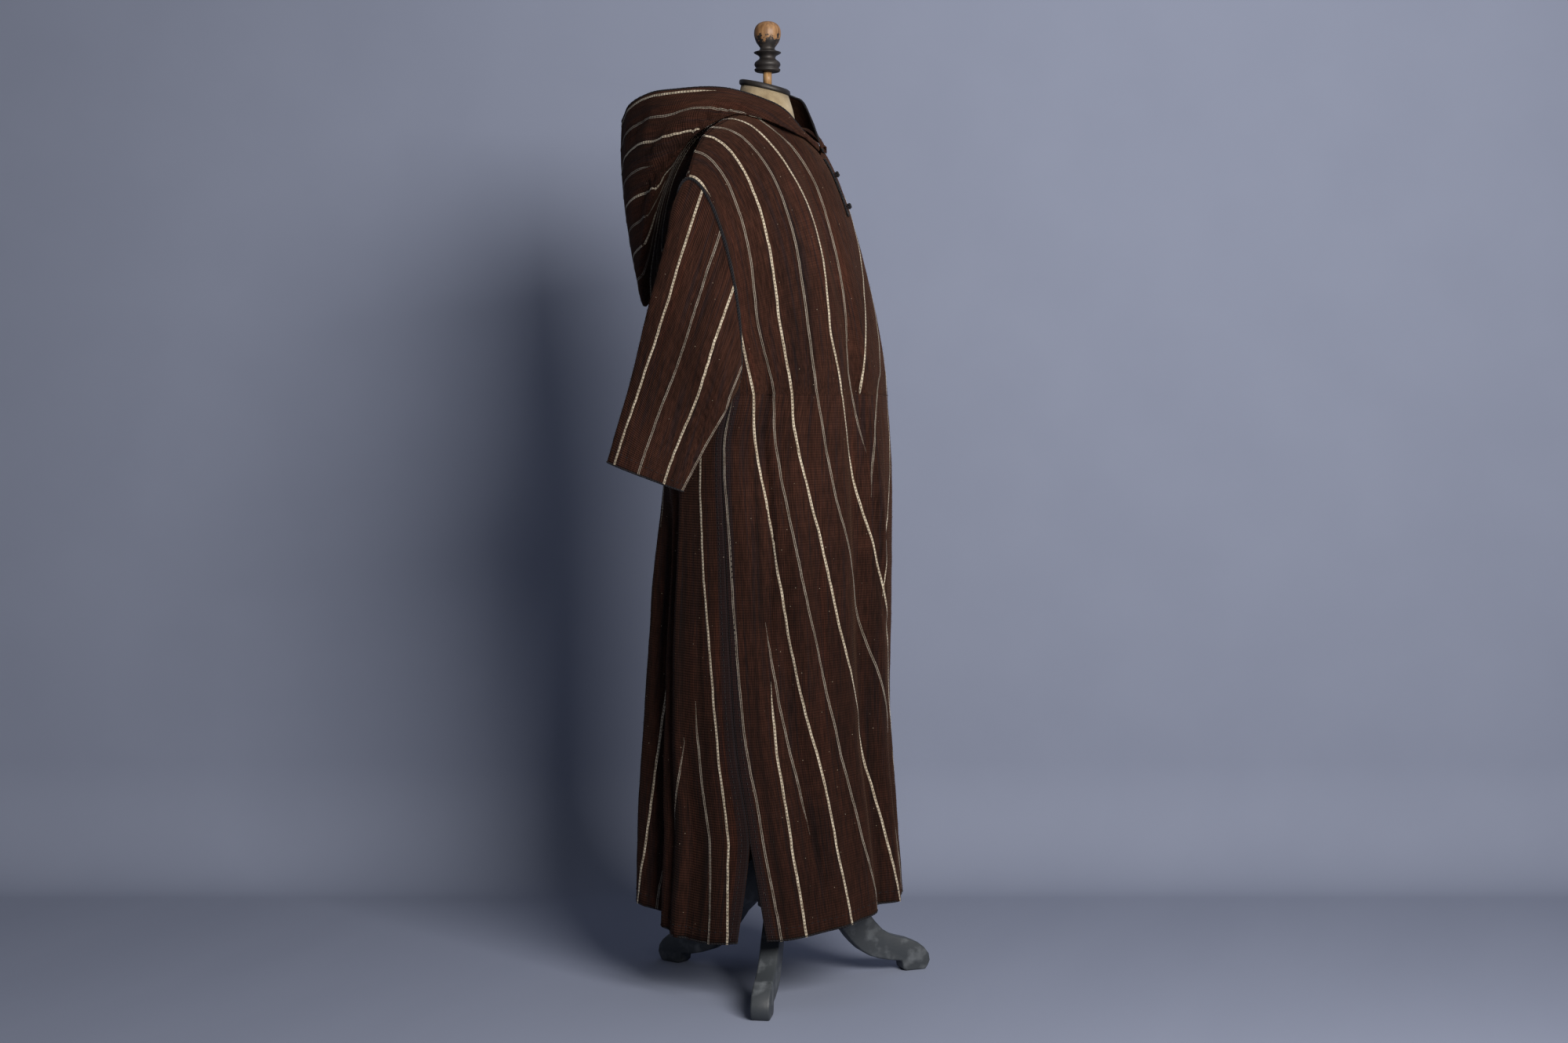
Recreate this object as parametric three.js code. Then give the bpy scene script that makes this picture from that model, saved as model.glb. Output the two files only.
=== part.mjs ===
// A hooded wool robe with straight side seams and slit hem, hung on a limbless dress form.
// Millimetres, Z up. The robe's front faces -Y and the wearer's right is -X.
// Each cloth piece is one closed shell of even thickness with a real hollow inside it.
import * as THREE from "three";

// ---- driving dimensions -------------------------------------------------------------
const clothWall = 2.6;
const seamGap = 0.42;
const hemHeight = 110;
const slitTop = 288;
const slitHalfWidth = 27;
const underarmHeight = 1048;
const armholeTop = { x: -232, y: 97, z: 1417 };
const armholeBottom = { x: -208, y: 30, z: underarmHeight };
const armholeBulge = { x: -6, y: -47 };
const neckSide = { x: 75, y: 25, z: 1548 };
const neckFront = { y: -66, z: 1472 };
const neckBack = { y: 95, z: 1535 };
const neckShare = 0.25;
const panelColumns = 34;
const skirtRows = 13;
const yokeRows = 12;
const sleeveRows = 11;
const headEase = 0.5;
const hoodColumns = 36;
const hoodLevels = [0, 0.08, 0.17, 0.26, 0.35, 0.44, 0.52, 0.6, 0.69, 0.78, 0.86, 0.93, 1];
const legThickness = 33;
const poleRadius = 16;
const hubRadius = 40;
const capTilt = 13.5;

// ---- tables: one row per section or fold ---------------------------------------------
// Cross sections of the skirt and chest: half width, half depth, centre and side seam line.
const bodySections = [
  { z: 110, halfWidth: 212, halfDepth: 240, centre: 24, seam: -8 },
  { z: 288, halfWidth: 212, halfDepth: 233, centre: 28, seam: -3 },
  { z: 450, halfWidth: 210, halfDepth: 220, centre: 28, seam: 22 },
  { z: 620, halfWidth: 209, halfDepth: 212, centre: 22, seam: 34 },
  { z: 786, halfWidth: 209, halfDepth: 206, centre: 14, seam: 42 },
  { z: 960, halfWidth: 209, halfDepth: 199, centre: 10, seam: 48 },
  { z: 1048, halfWidth: 208, halfDepth: 195, centre: 13, seam: 30 },
];

// The hem hangs lower at the sides, because the straight-cut shoulders slope down.
const hemLine = [
  { share: 0.0, front: 167, back: 162 },
  { share: 0.15, front: 164, back: 161 },
  { share: 0.3, front: 158, back: 155 },
  { share: 0.42, front: 150, back: 144 },
  { share: 0.5, front: 145, back: 130 },
  { share: 0.7, front: 133, back: 113 },
  { share: 0.88, front: 123, back: 110 },
  { share: 1.0, front: 121, back: 115 },
];

// The shoulder ridge, from the side of the neck to the top of the armhole.
const shoulderLine = [
  { share: 0.25, x: 75, y: 25, z: 1548 },
  { share: 0.42, x: 125, y: 48, z: 1533 },
  { share: 0.6, x: 178, y: 76, z: 1505 },
  { share: 0.72, x: 205, y: 90, z: 1481 },
  { share: 0.84, x: 222, y: 96, z: 1452 },
  { share: 1.0, x: 232, y: 97, z: 1417 },
];

// Folds: share of the panel width at the hem and at the top of the fold, width as a share,
// depth in mm (below zero is a trough), and the heights between which it runs.
const frontFolds = [
  { hem: -0.2, top: -0.31, width: 0.07, depth: -20, low: 60, high: 1190 },
  { hem: -0.1, top: -0.16, width: 0.09, depth: 9, low: 60, high: 1080 },
  { hem: -0.34, top: -0.42, width: 0.08, depth: 6, low: 60, high: 900 },
  { hem: -0.66, top: -0.8, width: 0.07, depth: -10, low: 240, high: 1230 },
  { hem: -0.55, top: -0.7, width: 0.08, depth: 6, low: 60, high: 1000 },
  { hem: 0.02, top: 0.0, width: 0.06, depth: -6, low: 60, high: 620 },
  { hem: 0.24, top: 0.3, width: 0.07, depth: -15, low: 60, high: 1120 },
  { hem: 0.36, top: 0.44, width: 0.08, depth: 8, low: 60, high: 930 },
  { hem: 0.58, top: 0.62, width: 0.08, depth: -11, low: 60, high: 860 },
  { hem: 0.74, top: 0.82, width: 0.07, depth: -9, low: 200, high: 1210 },
];
const backFolds = [
  { hem: -0.47, top: -0.43, width: 0.075, depth: -34, low: 60, high: 930 },
  { hem: -0.59, top: -0.56, width: 0.08, depth: 12, low: 60, high: 860 },
  { hem: -0.35, top: -0.31, width: 0.08, depth: 11, low: 60, high: 960 },
  { hem: -0.76, top: -0.71, width: 0.07, depth: -8, low: 60, high: 520 },
  { hem: -0.17, top: -0.14, width: 0.08, depth: -12, low: 60, high: 1000 },
  { hem: 0.05, top: 0.02, width: 0.1, depth: 10, low: 60, high: 980 },
  { hem: 0.24, top: 0.22, width: 0.08, depth: -15, low: 60, high: 900 },
  { hem: 0.5, top: 0.46, width: 0.08, depth: -19, low: 60, high: 950 },
  { hem: 0.63, top: 0.58, width: 0.07, depth: 8, low: 60, high: 820 },
  { hem: 0.8, top: 0.74, width: 0.07, depth: -8, low: 60, high: 560 },
];

// Sleeve stations from the armhole to the cuff: over-arm edge, under-arm edge, half fullness.
const sleeveStations = [
  { at: 0.0, overY: 97, overZ: 1417, underY: 30, underZ: 1048, x: -220, lean: 12, outX: 6, outY: 47 },
  { at: 0.1, overY: 120, overZ: 1374, underY: 30, underZ: 1032, x: -231, lean: 6, outX: 12, outY: 30 },
  { at: 0.25, overY: 137, overZ: 1304, underY: 37, underZ: 1010, x: -238, lean: 3, outX: 15, outY: 12 },
  { at: 0.5, overY: 171, overZ: 1182, underY: 57, underZ: 973, x: -242, lean: 2, outX: 15, outY: 4 },
  { at: 0.75, overY: 203, overZ: 1056, underY: 79, underZ: 932, x: -244, lean: 1, outX: 14, outY: 2 },
  { at: 1.0, overY: 241, overZ: 932, underY: 104, underZ: 884, x: -246, lean: 0, outX: 15, outY: 0 },
];
const sleeveFolds = [
  { round: 60, width: 16, depth: -4, from: 0.15, to: 0.9 },
  { round: 105, width: 16, depth: -3.5, from: 0.3, to: 1.1 },
  { round: 250, width: 20, depth: 3, from: 0.25, to: 0.9 },
];

// Hood stations from the centre back (0) to the point of the neckline (1):
// the rim, the lowest fold and how far the cloth swells out between them.
const hoodStations = [
  { at: 0.0, rimX: 0, rimY: 308, rimZ: 1548, lowX: 0, lowY: 262, lowZ: 1193, swell: 14, seam: 180, under: 40 },
  { at: 0.12, rimX: 46, rimY: 276, rimZ: 1573, lowX: 42, lowY: 254, lowZ: 1232, swell: 19, seam: 170, under: 36 },
  { at: 0.25, rimX: 88, rimY: 220, rimZ: 1586, lowX: 86, lowY: 233, lowZ: 1318, swell: 22, seam: 158, under: 32 },
  { at: 0.38, rimX: 108, rimY: 169, rimZ: 1587, lowX: 114, lowY: 197, lowZ: 1408, swell: 22, seam: 144, under: 26 },
  { at: 0.5, rimX: 112, rimY: 110, rimZ: 1588, lowX: 130, lowY: 146, lowZ: 1482, swell: 20, seam: 128, under: 20 },
  { at: 0.6, rimX: 106, rimY: 68, rimZ: 1584, lowX: 134, lowY: 104, lowZ: 1512, swell: 16, seam: 112, under: 10 },
  { at: 0.68, rimX: 98, rimY: 35, rimZ: 1575, lowX: 131, lowY: 66, lowZ: 1527, swell: 13, seam: 98, under: 5 },
  { at: 0.76, rimX: 88, rimY: 8, rimZ: 1565, lowX: 124, lowY: 34, lowZ: 1533, swell: 11, seam: 82, under: 4 },
  { at: 0.84, rimX: 75, rimY: -18, rimZ: 1552, lowX: 112, lowY: 4, lowZ: 1527, swell: 9, seam: 64, under: 4 },
  { at: 0.9, rimX: 60, rimY: -38, rimZ: 1531, lowX: 92, lowY: -26, lowZ: 1515, swell: 7, seam: 46, under: 3 },
  { at: 0.95, rimX: 36, rimY: -57, rimZ: 1500, lowX: 62, lowY: -54, lowZ: 1500, swell: 5, seam: 26, under: 2 },
  { at: 1.0, rimX: 5, rimY: -73, rimZ: 1476, lowX: 12, lowY: -77, lowZ: 1471, swell: 2, seam: 3.5, under: 1 },
];

// The padded form: closed rings from the hip to the neck. Side and front heights differ.
const formRings = [
  { side: 800, front: 800, back: 800, halfWidth: 148, halfFront: 108, halfBack: 112, centre: 20 },
  { side: 812, front: 812, back: 812, halfWidth: 157, halfFront: 118, halfBack: 121, centre: 20 },
  { side: 900, front: 900, back: 900, halfWidth: 152, halfFront: 113, halfBack: 118, centre: 20 },
  { side: 1010, front: 1010, back: 1010, halfWidth: 136, halfFront: 104, halfBack: 106, centre: 22 },
  { side: 1130, front: 1130, back: 1130, halfWidth: 148, halfFront: 116, halfBack: 112, centre: 24 },
  { side: 1240, front: 1240, back: 1240, halfWidth: 166, halfFront: 132, halfBack: 108, centre: 28 },
  { side: 1340, front: 1330, back: 1320, halfWidth: 180, halfFront: 126, halfBack: 92, centre: 44 },
  { side: 1424, front: 1386, back: 1390, halfWidth: 192, halfFront: 112, halfBack: 66, centre: 64 },
  { side: 1470, front: 1412, back: 1426, halfWidth: 193, halfFront: 98, halfBack: 50, centre: 74 },
  { side: 1497.2, front: 1434, back: 1452, halfWidth: 181, halfFront: 82, halfBack: 40, centre: 75 },
  { side: 1514.6, front: 1456, back: 1476, halfWidth: 156, halfFront: 68, halfBack: 38, centre: 64 },
  { side: 1532.4, front: 1482, back: 1500, halfWidth: 118, halfFront: 54, halfBack: 38, centre: 46 },
  { side: 1541, front: 1506, back: 1518, halfWidth: 72, halfFront: 50, halfBack: 48, centre: 34 },
  { side: 1560, front: 1545, back: 1555, halfWidth: 58, halfFront: 52, halfBack: 52, centre: 35 },
];

// ---- small helpers -------------------------------------------------------------------
function rowAt(table, key, value) {
  const last = table.length - 1;
  let i = 0;
  while (i < last - 1 && value > table[i + 1][key]) i += 1;
  const span = table[i + 1][key] - table[i][key];
  const t = Math.min(1, Math.max(0, (value - table[i][key]) / span));
  const row = {};
  for (const name of Object.keys(table[0])) {
    const before = table[Math.max(0, i - 1)];
    const after = table[Math.min(last, i + 2)];
    const a = table[i];
    const b = table[i + 1];
    const slopeA = ((b[name] - before[name]) / Math.max(1e-9, b[key] - before[key])) * span;
    const slopeB = ((after[name] - a[name]) / Math.max(1e-9, after[key] - a[key])) * span;
    const t2 = t * t;
    const t3 = t2 * t;
    row[name] = (2 * t3 - 3 * t2 + 1) * a[name] + (t3 - 2 * t2 + t) * slopeA
      + (-2 * t3 + 3 * t2) * b[name] + (t3 - t2) * slopeB;
  }
  return row;
}

function ease(from, to, value) {
  const t = Math.min(1, Math.max(0, (value - from) / (to - from)));
  return t * t * (3 - 2 * t);
}

function mix(a, b, t) {
  return a + (b - a) * t;
}

const degrees = Math.PI / 180;

// ---- the body panels -----------------------------------------------------------------
// Fold depth at one place: soft troughs and ridges that fade at both ends.
function foldDepth(folds, share, z) {
  let depth = 0;
  for (const fold of folds) {
    const along = Math.min(1, Math.max(0, (z - hemHeight) / (fold.high - hemHeight)));
    const middle = mix(fold.hem, fold.top, along);
    const fade = ease(fold.low - 60, fold.low + 60, z) * (1 - ease(fold.high - 260, fold.high, z));
    const away = (share - middle) / fold.width;
    depth += fold.depth * fade * Math.exp(-away * away);
  }
  return depth;
}

// A point on the skirt or chest ring. The side is -1 for the front panel and +1 for the back.
function ringPoint(side, share, z) {
  const ring = rowAt(bodySections, "z", z);
  const lean = Math.asin((ring.seam - ring.centre) / ring.halfDepth);
  const gape = slitHalfWidth * Math.pow(Math.max(0, (slitTop - z) / (slitTop - hemHeight)), 1.1);
  const spread = Math.PI / 2 - side * lean - gape / ring.halfDepth;
  const angle = share * spread;
  const fold = foldDepth(side < 0 ? frontFolds : backFolds, share, z);
  const edge = 1 - ease(0.86, 1, Math.abs(share)) * 0.85;
  const reach = fold * edge;
  const x = (ring.halfWidth + reach) * Math.sin(angle);
  const y = ring.centre + side * (ring.halfDepth + reach) * Math.cos(angle);
  return new THREE.Vector3(x, y, z);
}

// A point of the armhole loop; 0 is the top, 180 the underarm, the front lies between them.
function armholePoint(round) {
  const c = Math.cos(round * degrees);
  const s = Math.sin(round * degrees);
  const full = s * (1 + 0.15 * c);
  const x = mix(armholeBottom.x, armholeTop.x, (1 + c) / 2) + full * armholeBulge.x;
  const y = mix(armholeBottom.y, armholeTop.y, (1 + c) / 2) + full * armholeBulge.y;
  const z = mix(armholeBottom.z, armholeTop.z, (1 + c) / 2);
  return new THREE.Vector3(x, y, z);
}

// The top edge of a panel: neckline in the middle, shoulder ridge out to the armhole.
function topPoint(side, share) {
  const out = Math.abs(share);
  const sign = Math.sign(share);
  if (out >= neckShare) {
    const ridge = rowAt(shoulderLine, "share", out);
    return new THREE.Vector3(sign * ridge.x, ridge.y, ridge.z);
  }
  const turn = (out / neckShare) * 90 * degrees;
  const far = side < 0 ? neckFront : neckBack;
  const x = sign * neckSide.x * Math.sin(turn);
  const y = neckSide.y + (far.y - neckSide.y) * Math.cos(turn);
  const z = mix(far.z, neckSide.z, Math.pow(out / neckShare, 1.15));
  return new THREE.Vector3(x, y, z);
}

// How full the arch over chest or back is at a share of the panel width.
function yokeArch(side, out) {
  const front = side < 0;
  const power = front ? mix(1.3, 2.1, ease(0, 0.75, out)) : mix(2.4, 3.4, ease(0.1, 0.6, out));
  const slope = front ? mix(1.38, 1.9, ease(0, 0.7, out)) : mix(1.9, 2, ease(0.25, 0.6, out));
  return { power, slope };
}

// A point of the arch; a reach of 0 is the top edge and 1 the underarm ring.
function yokeReach(side, share, reach) {
  const ring = ringPoint(side, share, underarmHeight);
  const top = topPoint(side, share);
  const { power, slope } = yokeArch(side, Math.abs(share));
  const height = Math.pow(Math.max(0, 1 - Math.pow(reach, slope)), 1 / power);
  return new THREE.Vector3(
    mix(top.x, ring.x, Math.pow(reach, 1.2)),
    mix(top.y, ring.y, reach),
    mix(ring.z, top.z, height),
  );
}

// A point between the underarm ring and the top edge, arched over chest or back.
function yokePoint(side, share, rise) {
  const out = Math.abs(share);
  const round = 180 - rise * 180;
  const frontArm = armholePoint(round);
  const backArm = armholePoint(360 - round);
  const arm = side < 0 ? frontArm : backArm;
  const height = (1 - Math.cos(rise * Math.PI)) / 2;
  const { power, slope } = yokeArch(side, out);
  const reach = Math.pow(1 - Math.pow(height, power), 1 / slope);
  const point = yokeReach(side, share, reach);
  const nearArm = Math.pow(ease(0.5, 1, out), 1.6);
  if (share > 0) arm.x = -arm.x;
  return point.lerp(arm, nearArm);
}

// Height of the shoulder cloth over a place, and a point kept clear above it.
function yokeHeight(x, y) {
  const out = Math.abs(x);
  const ridge = out > neckSide.x ? rowAt(shoulderLine, "x", out).y : neckSide.y;
  const side = y < ridge ? -1 : 1;
  let low = 0.002;
  let high = 0.75;
  let point = null;
  for (let step = 0; step < 24; step += 1) {
    const share = (low + high) / 2;
    const top = topPoint(side, share);
    const ring = ringPoint(side, share, underarmHeight);
    const reach = (y - top.y) / (ring.y - top.y);
    if (reach >= 1) return -1e6;
    point = yokeReach(side, share, Math.max(0, reach));
    if (point.x < out) low = share;
    else high = share;
  }
  return point.z;
}

function clearOfYoke(point, lift) {
  const height = yokeHeight(point.x, point.y);
  const slopeX = yokeHeight(point.x + 2, point.y) - height;
  const slopeY = yokeHeight(point.x, point.y + 2) - height;
  const lean = Math.min(2.2, Math.hypot(1, slopeX / 2, slopeY / 2));
  if (height > 0) point.z = Math.max(point.z, height + lift * lean);
}

function panelPoint(side, share, row) {
  if (row <= skirtRows) {
    const slitRows = 3;
    const hem = rowAt(hemLine, "share", Math.abs(share))[side < 0 ? "front" : "back"];
    const z = row <= slitRows
      ? mix(hem, slitTop, row / slitRows)
      : mix(slitTop, underarmHeight, (row - slitRows) / (skirtRows - slitRows));
    return ringPoint(side, share, z);
  }
  return yokePoint(side, share, (row - skirtRows) / yokeRows);
}

function panelGrid(side) {
  const rows = [];
  for (let row = 0; row <= skirtRows + yokeRows; row += 1) {
    const line = [];
    for (let column = 0; column <= panelColumns; column += 1) {
      const share = side * (1 - (2 * column) / panelColumns);
      line.push(panelPoint(side, share, row));
    }
    rows.push(line);
  }
  return rows;
}

// ---- the sleeves ---------------------------------------------------------------------
function sleevePoint(at, round) {
  const station = rowAt(sleeveStations, "at", at);
  const c = Math.cos(round * degrees);
  const s = Math.sin(round * degrees);
  const flatten = mix(1, 0.8, ease(0.05, 0.4, at));
  const over = Math.sign(c) * Math.pow(Math.abs(c), flatten);
  let full = 0;
  for (const fold of sleeveFolds) {
    const away = (round - fold.round) / fold.width;
    const fade = ease(fold.from, fold.from + 0.15, at) * (1 - ease(fold.to - 0.15, fold.to, at));
    full += fold.depth * fade * Math.exp(-away * away);
  }
  const outward = s >= 0 ? -1 : 1;
  const x = station.x - over * station.lean - s * station.outX - outward * full * -1;
  const y = mix(station.underY, station.overY, (1 + over) / 2) - s * station.outY;
  const z = mix(station.underZ, station.overZ, (1 + over) / 2);
  return new THREE.Vector3(x, y, z);
}

// How far the sleeve laps over the panel instead of meeting it edge to edge (0 to 1).
function sleeveLap(round) {
  return round <= 180 ? ease(95, 150, round) : ease(0, 40, 360 - round);
}

function sleeveGrid(side) {
  const rows = [];
  for (let row = 0; row <= sleeveRows; row += 1) {
    const line = [];
    for (let column = 0; column < 2 * yokeRows; column += 1) {
      const round = (column * 180) / yokeRows;
      const point = row === 0 ? armholePoint(round) : sleevePoint(row / sleeveRows, round);
      if (row === 0) point.x -= 3.6 * sleeveLap(round) + headEase * ease(5, 20, round);
      if (side > 0) point.x = -point.x;
      line.push(point);
    }
    rows.push(line);
  }
  return rows;
}

// ---- the hood ------------------------------------------------------------------------
// One line of the hood, from the rim out and down to the lowest fold and back to the neck seam.
function hoodPoint(turn, down) {
  const at = Math.abs(turn);
  const sign = turn < 0 ? -1 : 1;
  const station = rowAt(hoodStations, "at", at);
  const farLift = turn > 0 ? 28 * ease(0.45, 0.7, at) * (1 - ease(0.8, 0.93, at)) : 0;
  const rim = new THREE.Vector3(station.rimX, station.rimY, station.rimZ + farLift);
  const low = new THREE.Vector3(station.lowX, station.lowY, station.lowZ);
  const side = station.seam > 90 ? 1 : -1;
  const share = (neckShare * (90 - Math.abs(90 - station.seam))) / 90;
  const seam = topPoint(side, Math.max(share, 1e-6));
  const lap = clothWall + mix(7.5, 1.8, ease(0.15, 0.6, at)) + 5.2 * ease(0.75, 0.93, at);
  seam.z += lap;
  const fan = mix(90, 30, ease(0.2, 0.75, at)) * degrees;
  const turnOut = at > 0.85 ? mix(fan, -60 * degrees, ease(0.85, 1, at)) : fan;
  const outward = new THREE.Vector3(Math.cos(turnOut), Math.sin(turnOut), 0);
  let point;
  if (down <= 0.55) {
    const t = down / 0.55;
    point = rim.clone().lerp(low, t);
    point.addScaledVector(outward, station.swell * Math.sin(Math.PI * Math.pow(t, 0.85)));
  } else {
    const t = (down - 0.55) / 0.45;
    point = low.clone().lerp(seam, t);
    point.addScaledVector(outward, station.under * 0.9 * Math.sin(Math.PI * Math.pow(t, 1.4)));
    point.z += station.under * 0.6 * Math.sin(Math.PI * Math.pow(t, 1.4));
  }
  const crease = (down - mix(0.12, 0.42, ease(0.5, 0.2, at))) / 0.09;
  const trough = 7 * Math.exp(-crease * crease) * ease(0.12, 0.24, at) * (1 - ease(0.5, 0.6, at));
  point.addScaledVector(outward, -trough);
  if (down > 0.35) clearOfYoke(point, lap);
  point.x *= sign;
  return point;
}

function hoodGrid() {
  const rows = [];
  for (let row = 0; row <= hoodColumns; row += 1) {
    const line = [];
    const turn = -0.985 + (1.97 * row) / hoodColumns;
    for (const down of hoodLevels) line.push(hoodPoint(turn, down));
    rows.push(line);
  }
  return rows;
}

// ---- shells from grids ---------------------------------------------------------------
// Each sheet is a grid of middle points. Points shared with a neighbour share one normal,
// so two pieces meet edge to edge at a seam with an even gap.
function gridNormals(sheet) {
  const { rows, closed, flip } = sheet;
  const normals = rows.map((line) => line.map(() => new THREE.Vector3()));
  const count = rows[0].length;
  const steps = closed ? count : count - 1;
  for (let i = 0; i < rows.length - 1; i += 1) {
    for (let j = 0; j < steps; j += 1) {
      const k = (j + 1) % count;
      const d1 = rows[i + 1][k].clone().sub(rows[i][j]);
      const d2 = rows[i + 1][j].clone().sub(rows[i][k]);
      const n = d1.cross(d2).multiplyScalar(flip ? -1 : 1);
      for (const [a, b] of [[i, j], [i, k], [i + 1, j], [i + 1, k]]) normals[a][b].add(n);
    }
  }
  return normals;
}

function pointKey(point) {
  return [point.x, point.y, point.z].map((value) => Math.round(value * 50)).join(",");
}

function shareNormals(sheets) {
  const sums = new Map();
  for (const sheet of sheets) {
    sheet.normals = gridNormals(sheet);
    sheet.rows.forEach((line, i) => line.forEach((point, j) => {
      const key = pointKey(point);
      if (!sums.has(key)) sums.set(key, new THREE.Vector3());
      sums.get(key).add(sheet.normals[i][j]);
    }));
  }
  for (const sheet of sheets) {
    sheet.normals = sheet.rows.map((line) => line.map((point) => (
      sums.get(pointKey(point)).clone().normalize()
    )));
  }
}

// Blends the normals of a sleeve head and the panels round it, so their edges match.
function joinSleeve(sleeve, frontColumn, backColumn) {
  for (let rise = 0; rise <= yokeRows; rise += 1) {
    for (const [panel, column, j] of [
      [frontSheet, frontColumn, yokeRows - rise],
      [backSheet, backColumn, (yokeRows + rise) % (2 * yokeRows)],
    ]) {
      const own = panel.normals[skirtRows + rise][column];
      const lap = sleeveLap((j * 180) / yokeRows);
      const both = own.clone().add(sleeve.normals[0][j]).normalize();
      panel.normals[skirtRows + rise][column] = both.clone().lerp(own, lap).normalize();
      if (panel === frontSheet || j > yokeRows) {
        sleeve.normals[0][j] = both.clone().lerp(sleeve.normals[0][j], lap).normalize();
      }
    }
  }
}

// Draws the open edges of a sheet back by half a seam gap.
function easeEdges(sheet) {
  const { rows, closed } = sheet;
  const lastRow = rows.length - 1;
  const lastColumn = rows[0].length - 1;
  const moved = rows.map((line) => line.map((point) => point.clone()));
  const pull = (i, j, a, b) => {
    const step = rows[a][b].clone().sub(rows[i][j]);
    if (step.length() > 1e-6) moved[i][j].addScaledVector(step.normalize(), seamGap / 2);
  };
  for (let j = 0; j <= lastColumn; j += 1) {
    pull(0, j, 1, j);
    pull(lastRow, j, lastRow - 1, j);
  }
  if (!closed) {
    for (let i = 0; i <= lastRow; i += 1) {
      pull(i, 0, i, 1);
      pull(i, lastColumn, i, lastColumn - 1);
    }
  }
  sheet.rows = moved;
}

function shellGeometry(sheet, wall) {
  const { rows, normals, closed } = sheet;
  const height = rows.length;
  const width = rows[0].length;
  const positions = [];
  for (const half of [0.5, -0.5]) {
    rows.forEach((line, i) => line.forEach((point, j) => {
      const n = normals[i][j];
      positions.push(point.x + n.x * wall * half, point.y + n.y * wall * half,
        point.z + n.z * wall * half);
    }));
  }
  const at = (layer, i, j) => layer * height * width + i * width + (j % width);
  const faces = [];
  const quad = (a, b, c, d) => faces.push(a, b, c, a, c, d);
  const steps = closed ? width : width - 1;
  for (let i = 0; i < height - 1; i += 1) {
    for (let j = 0; j < steps; j += 1) {
      quad(at(0, i, j), at(0, i, j + 1), at(0, i + 1, j + 1), at(0, i + 1, j));
      quad(at(1, i, j), at(1, i + 1, j), at(1, i + 1, j + 1), at(1, i, j + 1));
    }
  }
  for (let j = 0; j < steps; j += 1) {
    quad(at(1, 0, j), at(1, 0, j + 1), at(0, 0, j + 1), at(0, 0, j));
    quad(at(0, height - 1, j), at(0, height - 1, j + 1), at(1, height - 1, j + 1),
      at(1, height - 1, j));
  }
  if (!closed) {
    for (let i = 0; i < height - 1; i += 1) {
      quad(at(0, i, 0), at(0, i + 1, 0), at(1, i + 1, 0), at(1, i, 0));
      quad(at(1, i, width - 1), at(1, i + 1, width - 1), at(0, i + 1, width - 1),
        at(0, i, width - 1));
    }
  }
  return solidGeometry(positions, faces);
}

// Builds a geometry and turns it outward if its signed volume is below zero.
function solidGeometry(positions, faces) {
  let volume = 0;
  for (let f = 0; f < faces.length; f += 3) {
    const [a, b, c] = [faces[f], faces[f + 1], faces[f + 2]].map((k) => (
      new THREE.Vector3(positions[3 * k], positions[3 * k + 1], positions[3 * k + 2])
    ));
    volume += a.dot(b.cross(c));
  }
  if (volume < 0) {
    for (let f = 0; f < faces.length; f += 3) {
      const kept = faces[f + 1];
      faces[f + 1] = faces[f + 2];
      faces[f + 2] = kept;
    }
  }
  const geometry = new THREE.BufferGeometry();
  geometry.setAttribute("position", new THREE.Float32BufferAttribute(positions, 3));
  geometry.setIndex(faces);
  geometry.computeVertexNormals();
  return geometry;
}

// A solid from closed rings of points, capped flat at both ends.
function ringSolid(rings) {
  const width = rings[0].length;
  const positions = [];
  const faces = [];
  for (const ring of rings) for (const point of ring) positions.push(point.x, point.y, point.z);
  for (let i = 0; i < rings.length - 1; i += 1) {
    for (let j = 0; j < width; j += 1) {
      const k = (j + 1) % width;
      const a = i * width + j;
      const b = i * width + k;
      faces.push(a, b, b + width, a, b + width, a + width);
    }
  }
  for (const end of [0, rings.length - 1]) {
    const centre = new THREE.Vector3();
    for (const point of rings[end]) centre.addScaledVector(point, 1 / width);
    const hub = positions.length / 3;
    positions.push(centre.x, centre.y, centre.z);
    for (let j = 0; j < width; j += 1) {
      const a = end * width + j;
      const b = end * width + ((j + 1) % width);
      if (end === 0) faces.push(hub, b, a);
      else faces.push(hub, a, b);
    }
  }
  return solidGeometry(positions, faces);
}

// ---- trim ----------------------------------------------------------------------------
// Two cords side by side down the centre front, lifted off the panel they are sewn to.
function frontPlace(height) {
  const point = new THREE.Vector3();
  let low = 0;
  let high = 1;
  for (let step = 0; step < 40; step += 1) {
    const rise = (low + high) / 2;
    point.copy(yokePoint(-1, 1e-6, rise));
    if (point.z < height) low = rise;
    else high = rise;
  }
  const below = yokePoint(-1, 1e-6, low - 0.02);
  const along = point.clone().sub(below).normalize();
  const normal = new THREE.Vector3(0, -along.z, along.y);
  return { point, normal };
}

function braidGeometry() {
  const rows = [];
  for (let row = 0; row <= 12; row += 1) {
    const place = frontPlace(mix(1364, 1462, row / 12));
    const ring = [];
    for (let k = 0; k < 10; k += 1) {
      const a = (k / 10) * Math.PI * 2;
      const lift = clothWall / 2 + 2 + 1.5 * Math.sin(a);
      const point = place.point.clone().addScaledVector(place.normal, lift);
      point.x += 4.2 * Math.cos(a);
      ring.push(point);
    }
    rows.push(ring);
  }
  return ringSolid(rows);
}

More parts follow.
